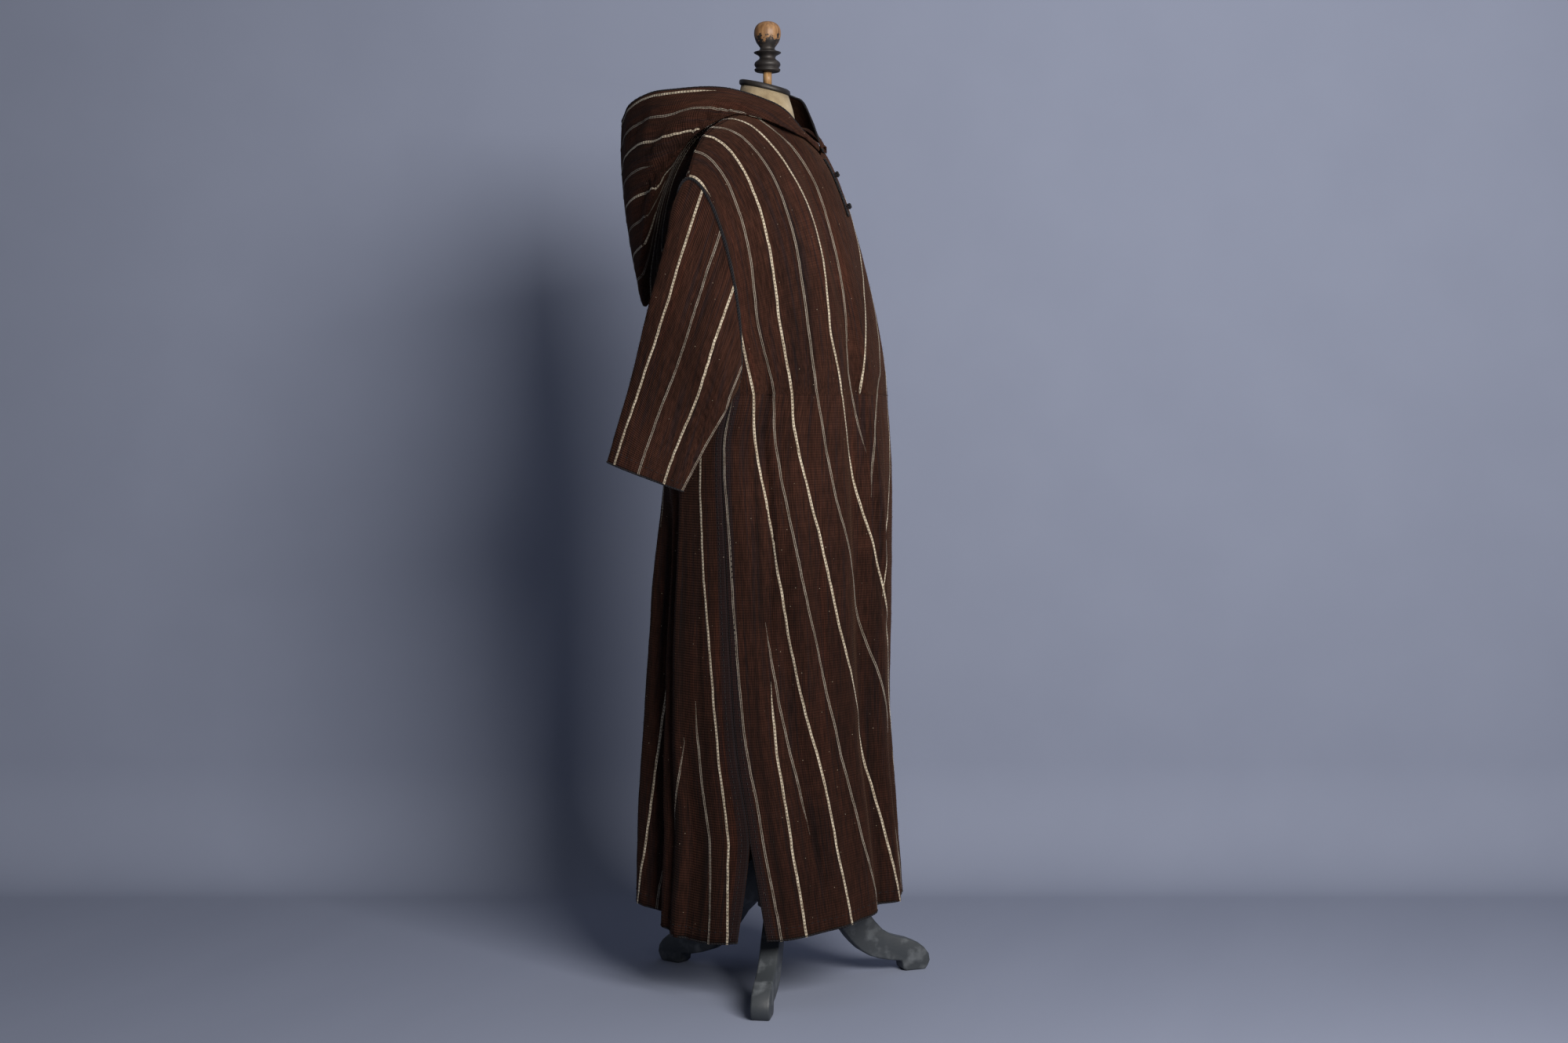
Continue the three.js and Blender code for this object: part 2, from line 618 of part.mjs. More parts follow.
function knotGeometry(height) {
  const place = frontPlace(height);
  const rings = [];
  for (let i = 0; i <= 6; i += 1) {
    const a = mix(-82, 82, i / 6) * degrees;
    const ring = [];
    for (let k = 0; k < 10; k += 1) {
      const b = (k / 10) * Math.PI * 2;
      const point = place.point.clone();
      point.addScaledVector(place.normal, clothWall / 2 + 3.5 + 0.7 + 4.6 + 4.6 * Math.sin(a));
      point.x += 5.4 * Math.cos(a) * Math.cos(b);
      point.z += 5.4 * Math.cos(a) * Math.sin(b);
      ring.push(point);
    }
    rings.push(ring);
  }
  return ringSolid(rings);
}

// ---- the form and stand --------------------------------------------------------------
const capMiddle = { y: 36, z: 1594 };
const finialY = 31;
const tiltSlope = Math.tan(capTilt * degrees);

function formGeometry() {
  const rings = formRings.map((row) => {
    const ring = [];
    for (let k = 0; k < 28; k += 1) {
      const a = (k / 28) * Math.PI * 2;
      const c = Math.cos(a);
      const s = Math.sin(a);
      const depth = s < 0 ? row.halfFront : row.halfBack;
      const level = s < 0 ? row.front : row.back;
      const z = mix(level, row.side, Math.pow(Math.abs(c), 3));
      ring.push(new THREE.Vector3(row.halfWidth * c, row.centre + depth * s, z));
    }
    return ring;
  });
  const neck = [];
  for (let k = 0; k < 28; k += 1) {
    const a = (k / 28) * Math.PI * 2;
    const y = capMiddle.y + 42.5 * Math.sin(a);
    const z = capMiddle.z + (y - capMiddle.y) * tiltSlope;
    neck.push(new THREE.Vector3(43.5 * Math.cos(a), y, z));
  }
  rings.push(neck);
  return ringSolid(rings);
}

function neckCapGeometry() {
  const levels = [
    { up: 0.3, radius: 43 }, { up: 1.3, radius: 45.5 }, { up: 5, radius: 46 },
    { up: 9, radius: 45 }, { up: 10.6, radius: 42 }, { up: 11, radius: 26 },
  ];
  const rings = levels.map((level) => {
    const ring = [];
    for (let k = 0; k < 32; k += 1) {
      const a = (k / 32) * Math.PI * 2;
      const y = level.radius * Math.sin(a);
      const z = capMiddle.z + level.up + y * tiltSlope;
      ring.push(new THREE.Vector3(level.radius * 1.02 * Math.cos(a), capMiddle.y + y, z));
    }
    return ring;
  });
  return ringSolid(rings);
}

// A turned finial on a thin dowel: ball, waist, sharp flange, bulb and foot ring.
function finialGeometry() {
  const foot = capMiddle.z + 11 + (finialY - capMiddle.y) * tiltSlope;
  const profile = [
    { r: 7.5, z: foot }, { r: 7.5, z: 1626 }, { r: 20, z: 1627 }, { r: 23, z: 1629.5 },
    { r: 23, z: 1632 }, { r: 20.5, z: 1634 }, { r: 22, z: 1636.5 }, { r: 23.5, z: 1640 },
    { r: 21.5, z: 1645 }, { r: 16, z: 1649 }, { r: 14.3, z: 1652 }, { r: 16, z: 1656 },
    { r: 23.6, z: 1660.5 }, { r: 23.6, z: 1662.5 }, { r: 16, z: 1665 }, { r: 13.2, z: 1669 },
    { r: 15, z: 1673 }, { r: 20, z: 1680 }, { r: 23.2, z: 1689 }, { r: 24, z: 1697 },
    { r: 22.6, z: 1705 }, { r: 18, z: 1712 }, { r: 10, z: 1716.4 }, { r: 3, z: 1717.5 },
  ];
  const rings = profile.map((level, i) => {
    const ring = [];
    for (let k = 0; k < 24; k += 1) {
      const a = (k / 24) * Math.PI * 2;
      const y = level.r * Math.sin(a);
      const z = i === 0 ? level.z + 0.3 + y * tiltSlope : level.z;
      ring.push(new THREE.Vector3(level.r * Math.cos(a), finialY + y, z));
    }
    return ring;
  });
  return ringSolid(rings);
}

function poleGeometry() {
  const levels = [
    { r: 15.2, z: 236.3 }, { r: poleRadius, z: 237.5 }, { r: poleRadius, z: 798.4 },
    { r: 15.2, z: 799.7 },
  ];
  return ringSolid(levels.map((level) => {
    const ring = [];
    for (let k = 0; k < 24; k += 1) {
      const a = (k / 24) * Math.PI * 2;
      ring.push(new THREE.Vector3(hubCentre.x + level.r * Math.cos(a), hubCentre.y + level.r * Math.sin(a),
        level.z));
    }
    return ring;
  }));
}

const hubCentre = { x: 15, y: 6 };

function hubGeometry() {
  const levels = [
    { r: 0.8, z: 128 }, { r: 1, z: 134 }, { r: 1, z: 226 }, { r: 0.86, z: 236 },
  ];
  const corner = hubRadius / Math.cos(30 * degrees);
  return ringSolid(levels.map((level) => {
    const ring = [];
    for (let k = 0; k < 6; k += 1) {
      const a = legAngles[0] * degrees + (k + 0.5) * 60 * degrees;
      const r = corner * level.r;
      ring.push(new THREE.Vector3(hubCentre.x + r * Math.cos(a), hubCentre.y + r * Math.sin(a),
        level.z));
    }
    return ring;
  }));
}

// Leg directions in degrees from +X: one towards the right front, the others 120 apart.
const legAngles = [189, 309, 69];

function legGeometry(angle) {
  const inner = hubRadius + 0.3;
  const upper = [
    [inner, 222], [62, 214], [92, 186], [122, 152], [146, 127], [162, 112], [174, 96], [189, 80],
    [209, 67.5], [229, 61], [245, 56.5], [260, 50], [273, 40], [282, 28], [284, 16], [280, 7],
    [275, 0],
  ];
  const lower = [
    [236, 0], [230, 5], [228, 19], [204, 22], [181, 27.5], [163, 34], [147, 44], [134, 56],
    [123, 68], [109, 87], [90, 112], [66, 134], [inner, 142],
  ];
  const shape = new THREE.Shape([...upper, ...lower].map(([r, z]) => new THREE.Vector2(r, z)));
  const geometry = new THREE.ExtrudeGeometry(shape, {
    depth: legThickness,
    bevelEnabled: false,
    steps: 1,
  });
  geometry.translate(0, 0, -legThickness / 2);
  geometry.rotateX(Math.PI / 2);
  geometry.rotateZ(angle * degrees);
  geometry.translate(hubCentre.x, hubCentre.y, 0);
  return geometry;
}

// ---- assembly ------------------------------------------------------------------------
function paint(color, roughness, metalness) {
  return new THREE.MeshStandardMaterial({ color, roughness, metalness });
}

const group = new THREE.Group();
group.name = "hooded_robe_on_form";

function add(name, geometry, material) {
  const mesh = new THREE.Mesh(geometry, material);
  mesh.name = name;
  group.add(mesh);
}

const frontSheet = { name: "front", rows: panelGrid(-1), closed: false, flip: false };
const backSheet = { name: "back", rows: panelGrid(1), closed: false, flip: false };
const rightSheet = { name: "sleeve_right", rows: sleeveGrid(-1), closed: true, flip: true };
const leftSheet = { name: "sleeve_left", rows: sleeveGrid(1), closed: true, flip: false };
const hoodSheet = { name: "hood", rows: hoodGrid(), closed: false, flip: false };
shareNormals([frontSheet, backSheet]);
for (const sheet of [rightSheet, leftSheet, hoodSheet]) shareNormals([sheet]);
joinSleeve(rightSheet, 0, panelColumns);
joinSleeve(leftSheet, panelColumns, 0);
const sheets = [frontSheet, backSheet, rightSheet, leftSheet];

for (const sheet of sheets) {
  easeEdges(sheet);
  add(sheet.name, shellGeometry(sheet, clothWall), paint("#46302a", 0.95, 0));
}
add("hood", shellGeometry(hoodSheet, clothWall), paint("#46302a", 0.95, 0));
add("braid", braidGeometry(), paint("#20222e", 0.85, 0));
add("knot_upper", knotGeometry(1436), paint("#20222e", 0.85, 0));
add("knot_lower", knotGeometry(1380), paint("#20222e", 0.85, 0));
add("form", formGeometry(), paint("#b59f80", 0.9, 0));
add("neck_cap", neckCapGeometry(), paint("#2b2522", 0.7, 0));
add("finial", finialGeometry(), paint("#2a2421", 0.45, 0));
add("pole", poleGeometry(), paint("#2d2a28", 0.6, 0));
add("hub", hubGeometry(), paint("#35383a", 0.6, 0));
add("leg_right", legGeometry(legAngles[0]), paint("#3a3f42", 0.6, 0));
add("leg_left", legGeometry(legAngles[1]), paint("#3a3f42", 0.6, 0));
add("leg_back", legGeometry(legAngles[2]), paint("#3a3f42", 0.6, 0));

// The origin sits on the floor under the middle of the whole part.
const bounds = new THREE.Box3().setFromObject(group);
const shift = bounds.getCenter(new THREE.Vector3());
for (const mesh of group.children) mesh.geometry.translate(-shift.x, -shift.y, -bounds.min.z);

export default group;
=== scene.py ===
"""Hooded wool robe on an old dress form: cloth, trim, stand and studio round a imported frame."""
import math
import random

import bpy
from bpy.props import FloatProperty, IntProperty, PointerProperty, StringProperty
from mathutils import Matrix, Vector, noise


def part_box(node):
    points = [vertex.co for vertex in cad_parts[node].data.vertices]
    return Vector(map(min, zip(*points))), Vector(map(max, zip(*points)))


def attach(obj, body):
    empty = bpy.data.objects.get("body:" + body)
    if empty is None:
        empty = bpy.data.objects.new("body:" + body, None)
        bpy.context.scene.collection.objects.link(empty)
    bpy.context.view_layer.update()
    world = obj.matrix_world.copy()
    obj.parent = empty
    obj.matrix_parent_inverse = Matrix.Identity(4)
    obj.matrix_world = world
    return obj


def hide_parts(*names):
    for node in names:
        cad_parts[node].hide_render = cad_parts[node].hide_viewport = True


bl_info = {
    "name": "Hooded striped robe",
    "version": (1, 0, 0),
    "blender": (4, 5, 0),
    "location": "3D view > Sidebar > Robe",
    "description": "Builds a hooded, striped wool robe on a dress form with a tripod stand",
    "category": "Object",
}

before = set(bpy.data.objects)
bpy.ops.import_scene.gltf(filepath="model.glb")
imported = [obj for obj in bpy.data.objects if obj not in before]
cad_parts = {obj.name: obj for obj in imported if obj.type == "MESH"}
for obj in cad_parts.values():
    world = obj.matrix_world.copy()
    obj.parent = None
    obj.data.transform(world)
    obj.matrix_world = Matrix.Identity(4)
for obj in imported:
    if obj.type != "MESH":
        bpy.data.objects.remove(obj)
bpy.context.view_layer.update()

# ---- the pattern frame ---------------------------------------------------------------
# The pattern is drawn in millimetres about the robe's own axis; the finial's box says
# where that axis stands in the frame.
FINIAL_Y = 31.0
_low, _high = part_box("finial")
SHIFT = Vector((500 * (_low[0] + _high[0]), 500 * (_low[1] + _high[1]) - FINIAL_Y, 0))

# The driving dimensions of the pattern, in millimetres and degrees.
HEM_HEIGHT = 110.0
SLIT_TOP = 288.0
SLIT_HALF_WIDTH = 27.0
UNDERARM_HEIGHT = 1048.0
NECK_SHARE = 0.25
CLOTH_WALL = 2.6
ARMHOLE_TOP = Vector((-232, 97, 1417))
ARMHOLE_BOTTOM = Vector((-208, 30, UNDERARM_HEIGHT))
ARMHOLE_BULGE = Vector((-6, -47, 0))
NECK_SIDE = Vector((75, 25, 1548))
NECK_FRONT = Vector((0, -66, 1472))
NECK_BACK = Vector((0, 95, 1535))
PANEL_HALF_WIDTH = 340.0
HUB_CENTRE = Vector((15, 6, 0))
LEG_ANGLES = {"leg_right": 189, "leg_left": 309, "leg_back": 69}
CAP_MIDDLE = Vector((0, 36, 1594))
CAP_SLOPE = math.tan(math.radians(13.5))


def table(columns, *rows):
    """A short table: one dict per row, keyed by the named columns."""
    names = columns.split()
    return [dict(zip(names, row)) for row in rows]


BODY_SECTIONS = table(
    "z half_width half_depth centre seam",
    (110, 212, 240, 24, -8),
    (288, 212, 233, 28, -3),
    (450, 210, 220, 28, 22),
    (620, 209, 212, 22, 34),
    (786, 209, 206, 14, 42),
    (960, 209, 199, 10, 48),
    (1048, 208, 195, 13, 30),
)
HEM_LINE = table(
    "share front back",
    (0.0, 167, 162),
    (0.15, 164, 161),
    (0.3, 158, 155),
    (0.42, 150, 144),
    (0.5, 145, 130),
    (0.7, 133, 113),
    (0.88, 123, 110),
    (1.0, 121, 115),
)
SHOULDER_LINE = table(
    "share x y z",
    (0.25, 75, 25, 1548),
    (0.42, 125, 48, 1533),
    (0.6, 178, 76, 1505),
    (0.72, 205, 90, 1481),
    (0.84, 222, 96, 1452),
    (1.0, 232, 97, 1417),
)
# Folds: share of the panel at the hem and at the top, width, depth, and where they run.
FRONT_FOLDS = table(
    "hem top width depth low high",
    (-0.2, -0.31, 0.07, -20, 60, 1190),
    (-0.1, -0.16, 0.09, 9, 60, 1080),
    (-0.34, -0.42, 0.08, 6, 60, 900),
    (-0.66, -0.8, 0.07, -10, 240, 1230),
    (-0.55, -0.7, 0.08, 6, 60, 1000),
    (0.02, 0.0, 0.06, -6, 60, 620),
    (0.24, 0.3, 0.07, -15, 60, 1120),
    (0.36, 0.44, 0.08, 8, 60, 930),
    (0.58, 0.62, 0.08, -11, 60, 860),
    (0.74, 0.82, 0.07, -9, 200, 1210),
)
BACK_FOLDS = table(
    "hem top width depth low high",
    (-0.47, -0.43, 0.075, -34, 60, 930),
    (-0.59, -0.56, 0.08, 12, 60, 860),
    (-0.35, -0.31, 0.08, 11, 60, 960),
    (-0.76, -0.71, 0.07, -8, 60, 520),
    (-0.17, -0.14, 0.08, -12, 60, 1000),
    (0.05, 0.02, 0.1, 10, 60, 980),
    (0.24, 0.22, 0.08, -15, 60, 900),
    (0.5, 0.46, 0.08, -19, 60, 950),
    (0.63, 0.58, 0.07, 8, 60, 820),
    (0.8, 0.74, 0.07, -8, 60, 560),
)
# Small creases that the solid leaves out; same columns.
FRONT_CREASES = table(
    "hem top width depth low high",
    (-0.47, -0.62, 0.022, -3.2, 500, 1260),
    (-0.27, -0.36, 0.02, -2.6, 60, 700),
    (-0.78, -0.88, 0.024, -3.0, 300, 1100),
    (-0.05, -0.06, 0.016, -2.4, 60, 1150),
    (0.12, 0.14, 0.02, -2.8, 60, 1180),
    (0.5, 0.55, 0.024, -3.0, 60, 1080),
    (0.88, 0.9, 0.02, -2.2, 240, 900),
)
BACK_CREASES = table(
    "hem top width depth low high",
    (-0.6, -0.575, 0.036, -19.0, 60, 980),
    (-0.685, -0.66, 0.024, 4.0, 60, 980),
    (-0.72, -0.7, 0.016, -3.4, 60, 480),
    (-0.84, -0.8, 0.018, -2.4, 60, 800),
    (-0.06, -0.04, 0.02, -2.6, 60, 1100),
    (0.35, 0.3, 0.022, -3.2, 60, 1000),
    (0.7, 0.68, 0.018, -3.0, 60, 700),
)
SLEEVE_STATIONS = table(
    "at over_y over_z under_y under_z x lean out_x out_y",
    (0.0, 97, 1417, 30, 1048, -220, 12, 6, 47),
    (0.1, 120, 1374, 30, 1032, -231, 6, 12, 30),
    (0.25, 137, 1304, 37, 1010, -238, 3, 15, 12),
    (0.5, 171, 1182, 57, 973, -242, 2, 15, 4),
    (0.75, 203, 1056, 79, 932, -244, 1, 14, 2),
    (1.0, 241, 932, 104, 884, -246, 0, 15, 0),
)
SLEEVE_FOLDS = table(
    "round width depth start end",
    (60, 16, -4, 0.15, 0.9),
    (105, 16, -3.5, 0.3, 1.1),
    (250, 20, 3, 0.25, 0.9),
    (84, 6, -1.8, 0.2, 0.7),
    (128, 7, -1.6, 0.1, 0.6),
)
HOOD_STATIONS = table(
    "at rim_x rim_y rim_z low_x low_y low_z swell seam under",
    (0.0, 0, 308, 1548, 0, 262, 1193, 14, 180, 40),
    (0.12, 46, 276, 1573, 42, 254, 1232, 19, 170, 36),
    (0.25, 88, 220, 1586, 86, 233, 1318, 22, 158, 32),
    (0.38, 108, 169, 1587, 114, 197, 1408, 22, 144, 26),
    (0.5, 112, 110, 1588, 130, 146, 1482, 20, 128, 20),
    (0.6, 106, 68, 1584, 134, 104, 1512, 16, 112, 10),
    (0.68, 98, 35, 1575, 131, 66, 1527, 13, 98, 5),
    (0.76, 88, 8, 1565, 124, 34, 1533, 11, 82, 4),
    (0.84, 75, -18, 1552, 112, 4, 1527, 9, 64, 4),
    (0.9, 60, -38, 1531, 92, -26, 1515, 7, 46, 3),
    (0.95, 36, -57, 1500, 62, -54, 1500, 5, 26, 2),
    (1.0, 5, -73, 1476, 12, -77, 1471, 2, 3.5, 1),
)
FORM_RINGS = table(
    "side front back half_width half_front half_back centre",
    (800, 800, 800, 148, 108, 112, 20),
    (812, 812, 812, 157, 118, 121, 20),
    (900, 900, 900, 152, 113, 118, 20),
    (1010, 1010, 1010, 136, 104, 106, 22),
    (1130, 1130, 1130, 148, 116, 112, 24),
    (1240, 1240, 1240, 166, 132, 108, 28),
    (1340, 1330, 1320, 180, 126, 92, 44),
    (1424, 1386, 1390, 192, 112, 66, 64),
    (1470, 1412, 1426, 193, 98, 50, 74),
    (1497.2, 1434, 1452, 181, 82, 40, 75),
    (1514.6, 1456, 1476, 156, 68, 38, 64),
    (1532.4, 1482, 1500, 118, 54, 38, 46),
    (1541, 1506, 1518, 72, 50, 48, 34),
    (1560, 1545, 1555, 58, 52, 52, 35),
)
FINIAL_PROFILE = table(
    "r z",
    (7.5, 1604.2), (7.5, 1626), (20, 1627), (23, 1629.5), (23, 1632), (20.5, 1634),
    (22, 1636.5), (23.5, 1640), (21.5, 1645), (16, 1649), (14.3, 1652), (16, 1656),
    (23.6, 1660.5), (23.6, 1662.5), (16, 1665), (13.2, 1669), (15, 1673), (20, 1680),
    (23.2, 1689), (24, 1697), (22.6, 1705), (18, 1712), (10, 1716.4), (3, 1717.5),
)
CAP_PROFILE = table(
    "r up", (43, 0.3), (45.5, 1.3), (46, 5), (45, 9), (42, 10.6), (26, 11),
)
LEG_OUTLINE = table(
    "r z",
    (40.3, 222), (62, 214), (92, 186), (122, 152), (146, 127), (162, 112), (174, 96),
    (189, 80), (209, 67.5), (229, 61), (245, 56.5), (260, 50), (273, 40), (282, 28),
    (284, 16), (280, 7), (275, 0), (236, 0), (230, 5), (228, 19), (204, 22),
    (181, 27.5), (163, 34), (147, 44), (134, 56), (123, 68), (109, 87), (90, 112),
    (66, 134), (40.3, 142),
)


# ---- small helpers -------------------------------------------------------------------
def mix(a, b, t):
    return a + (b - a) * t


def ease(start, end, value):
    t = min(1.0, max(0.0, (value - start) / (end - start)))
    return t * t * (3 - 2 * t)


def row_at(rows, key, value):
    """The table read at a place between its rows, along a smooth curve."""
    last = len(rows) - 1
    i = 0
    while i < last - 1 and value > rows[i + 1][key]:
        i += 1
    a, b = rows[i], rows[i + 1]
    before, after = rows[max(0, i - 1)], rows[min(last, i + 2)]
    span = b[key] - a[key]
    t = min(1.0, max(0.0, (value - a[key]) / span))
    t2, t3 = t * t, t * t * t
    weights = (2 * t3 - 3 * t2 + 1, t3 - 2 * t2 + t, -2 * t3 + 3 * t2, t3 - t2)
    slope_a = span / max(1e-9, b[key] - before[key])
    slope_b = span / max(1e-9, after[key] - a[key])
    return {
        name: weights[0] * a[name]
        + weights[1] * (b[name] - before[name]) * slope_a
        + weights[2] * b[name]
        + weights[3] * (after[name] - a[name]) * slope_b
        for name in a
    }


def to_frame(point):
    """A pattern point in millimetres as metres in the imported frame."""
    return (Vector(point) + SHIFT) / 1000


# ---- the pattern: panels, sleeves and hood -------------------------------------------
def fold_depth(folds, share, z):
    """How far the folds push the cloth out at a share of the panel and a height."""
    depth = 0.0
    for fold in folds:
        along = min(1.0, max(0.0, (z - HEM_HEIGHT) / (fold["high"] - HEM_HEIGHT)))
        middle = mix(fold["hem"], fold["top"], along)
        fade = ease(fold["low"] - 60, fold["low"] + 60, z)
        fade *= 1 - ease(fold["high"] - 260, fold["high"], z)
        depth += fold["depth"] * fade * math.exp(-(((share - middle) / fold["width"]) ** 2))
    return depth


def ring_point(side, share, z):
    """A point on the skirt or chest ring; side -1 is the front panel, +1 the back."""
    ring = row_at(BODY_SECTIONS, "z", z)
    lean = math.asin((ring["seam"] - ring["centre"]) / ring["half_depth"])
    gape = SLIT_HALF_WIDTH * max(0.0, (SLIT_TOP - z) / (SLIT_TOP - HEM_HEIGHT)) ** 1.1
    angle = share * (math.pi / 2 - side * lean - gape / ring["half_depth"])
    folds = fold_depth(FRONT_FOLDS if side < 0 else BACK_FOLDS, share, z)
    creases = fold_depth(FRONT_CREASES if side < 0 else BACK_CREASES, share, z)
    reach = (folds + creases) * (1 - ease(0.86, 1, abs(share)) * 0.85)
    return Vector((
        (ring["half_width"] + reach) * math.sin(angle),
        ring["centre"] + side * (ring["half_depth"] + reach) * math.cos(angle),
        z,
    ))


def armhole_point(turn):
    """The armhole loop in degrees: 0 is its top, 180 the underarm, the front between."""
    c, s = math.cos(math.radians(turn)), math.sin(math.radians(turn))
    point = ARMHOLE_BOTTOM.lerp(ARMHOLE_TOP, (1 + c) / 2)
    return point + ARMHOLE_BULGE * s * (1 + 0.15 * c)


def top_point(side, share):
    """The top edge of a panel: neckline in the middle, shoulder ridge out to the arm."""
    out, sign = abs(share), math.copysign(1, share)
    if out >= NECK_SHARE:
        ridge = row_at(SHOULDER_LINE, "share", out)
        return Vector((sign * ridge["x"], ridge["y"], ridge["z"]))
    turn = out / NECK_SHARE * math.pi / 2
    far = NECK_FRONT if side < 0 else NECK_BACK
    return Vector((
        sign * NECK_SIDE.x * math.sin(turn),
        NECK_SIDE.y + (far.y - NECK_SIDE.y) * math.cos(turn),
        mix(far.z, NECK_SIDE.z, (out / NECK_SHARE) ** 1.15),
    ))


def yoke_arch(side, out):
    """The two powers that shape the arch over chest or back."""
    if side < 0:
        return mix(1.3, 2.1, ease(0, 0.75, out)), mix(1.38, 1.9, ease(0, 0.7, out))
    return mix(2.4, 3.4, ease(0.1, 0.6, out)), mix(1.9, 2, ease(0.25, 0.6, out))


def yoke_reach(side, share, reach):
    """A point of the arch over chest or back; reach 0 is the top edge, 1 the underarm."""
    ring = ring_point(side, share, UNDERARM_HEIGHT)
    top = top_point(side, share)
    power, slope = yoke_arch(side, abs(share))
    height = max(0.0, 1 - reach**slope) ** (1 / power)
    return Vector((
        mix(top.x, ring.x, reach**1.2), mix(top.y, ring.y, reach), mix(ring.z, top.z, height)
    ))


def yoke_point(side, share, rise):
    """A point above the underarm; rise 0 is the underarm, 1 the shoulder line."""
    out = abs(share)
    arm = armhole_point(180 - rise * 180 if side < 0 else 180 + rise * 180)
    power, slope = yoke_arch(side, out)
    height = (1 - math.cos(rise * math.pi)) / 2
    reach = max(0.0, 1 - height**power) ** (1 / slope)
    if share > 0:
        arm.x = -arm.x
    pull = ease(0.5, 1, out) ** 1.6 * mix(ease(0.96, 1, out), 1, ease(0, 0.36, height))
    return yoke_reach(side, share, reach).lerp(arm, pull)


def yoke_height(x, y):
    """Height of the shoulder cloth over a place, or None beyond it."""
    out = abs(x)
    ridge = row_at(SHOULDER_LINE, "x", out)["y"] if out > NECK_SIDE.x else NECK_SIDE.y
    side = -1 if y < ridge else 1
    low, high = 0.002, 0.75
    point = None
    for _ in range(20):
        share = (low + high) / 2
        top = top_point(side, share)
        ring = ring_point(side, share, UNDERARM_HEIGHT)
        reach = (y - top.y) / (ring.y - top.y)
        if reach >= 1:
            return None
        point = yoke_reach(side, share, max(0.0, reach))
        if point.x < out:
            low = share
        else:
            high = share
    return point.z


def clear_of_yoke(point, lift):
    """Keeps a point of the hood clear above the shoulder cloth."""
    height = yoke_height(point.x, point.y)
    if height is None:
        return
    slope_x = (yoke_height(point.x + 2, point.y) or height) - height
    slope_y = (yoke_height(point.x, point.y + 2) or height) - height
    lean = min(2.2, math.hypot(1, slope_x / 2, slope_y / 2))
    point.z = max(point.z, height + lift * lean)


def sleeve_point(at, turn):
    """A point of the right sleeve: 0 armhole to 1 cuff; turn as at the armhole."""
    station = row_at(SLEEVE_STATIONS, "at", at)
    c, s = math.cos(math.radians(turn)), math.sin(math.radians(turn))
    over = math.copysign(abs(c) ** mix(1, 0.8, ease(0.05, 0.4, at)), c)
    full = 0.0
    for fold in SLEEVE_FOLDS:
        fade = ease(fold["start"], fold["start"] + 0.15, at)
        fade *= 1 - ease(fold["end"] - 0.15, fold["end"], at)
        full += fold["depth"] * fade * math.exp(-(((turn - fold["round"]) / fold["width"]) ** 2))
    outward = -1 if s >= 0 else 1
    return Vector((
        station["x"] - over * station["lean"] - s * station["out_x"] + outward * full,
        mix(station["under_y"], station["over_y"], (1 + over) / 2) - s * station["out_y"],
        mix(station["under_z"], station["over_z"], (1 + over) / 2),
    ))


HOOD_LOW_SHARE = 0.55  # how far down a hood line its lowest fold lies
HOOD_FAR_LIFT = 28  # the hood's far side stands up beside the neck
HOOD_TROUGH_DEPTH, HOOD_TROUGH_WIDTH = 7, 0.09


def hood_point(turn, down):
    """One line of the hood from its rim (0) to the lowest fold and back to the seam (1)."""
    at = abs(turn)
    row = row_at(HOOD_STATIONS, "at", at)
    lift = HOOD_FAR_LIFT * ease(0.45, 0.7, at) * (1 - ease(0.8, 0.93, at)) if turn > 0 else 0
    rim = Vector((row["rim_x"], row["rim_y"], row["rim_z"] + lift))
    low = Vector((row["low_x"], row["low_y"], row["low_z"]))
    side = 1 if row["seam"] > 90 else -1
    share = NECK_SHARE * (90 - abs(90 - row["seam"])) / 90
    seam = top_point(side, max(share, 1e-6))
    lap = CLOTH_WALL + mix(7.5, 1.8, ease(0.15, 0.6, at)) + 5.2 * ease(0.75, 0.93, at)
    seam.z += lap
    fan = math.radians(mix(90, 30, ease(0.2, 0.75, at)))
    if at > 0.85:
        fan = mix(fan, math.radians(-60), ease(0.85, 1, at))
    outward = Vector((math.cos(fan), math.sin(fan), 0))
    if down <= HOOD_LOW_SHARE:
        t = down / HOOD_LOW_SHARE
        point = rim.lerp(low, t) + outward * row["swell"] * math.sin(math.pi * t**0.85)
    else:
        t = (down - HOOD_LOW_SHARE) / (1 - HOOD_LOW_SHARE)
        bow = math.sin(math.pi * t**1.4)
        point = low.lerp(seam, t) + outward * row["under"] * 0.9 * bow
        point.z += row["under"] * 0.6 * bow
    from_trough = (down - mix(0.12, 0.42, ease(0.5, 0.2, at))) / HOOD_TROUGH_WIDTH
    trough = HOOD_TROUGH_DEPTH * math.exp(-from_trough * from_trough)
    point -= outward * trough * ease(0.12, 0.24, at) * (1 - ease(0.5, 0.6, at))
    if down > 0.35:
        clear_of_yoke(point, lap)
    if turn < 0:
        point.x = -point.x
    return point


# ---- cloth meshes --------------------------------------------------------------------
SKIRT_STEPS = 66
YOKE_STEPS = 54
PANEL_STEPS = 132
SLEEVE_STEPS = 72
SLEEVE_TURNS = 96
HOOD_STEPS = 36
HOOD_LEVELS = (0, 0.08, 0.17, 0.26, 0.35, 0.44, 0.52, 0.6, 0.69, 0.78, 0.86, 0.93, 1)
REFINE = 4


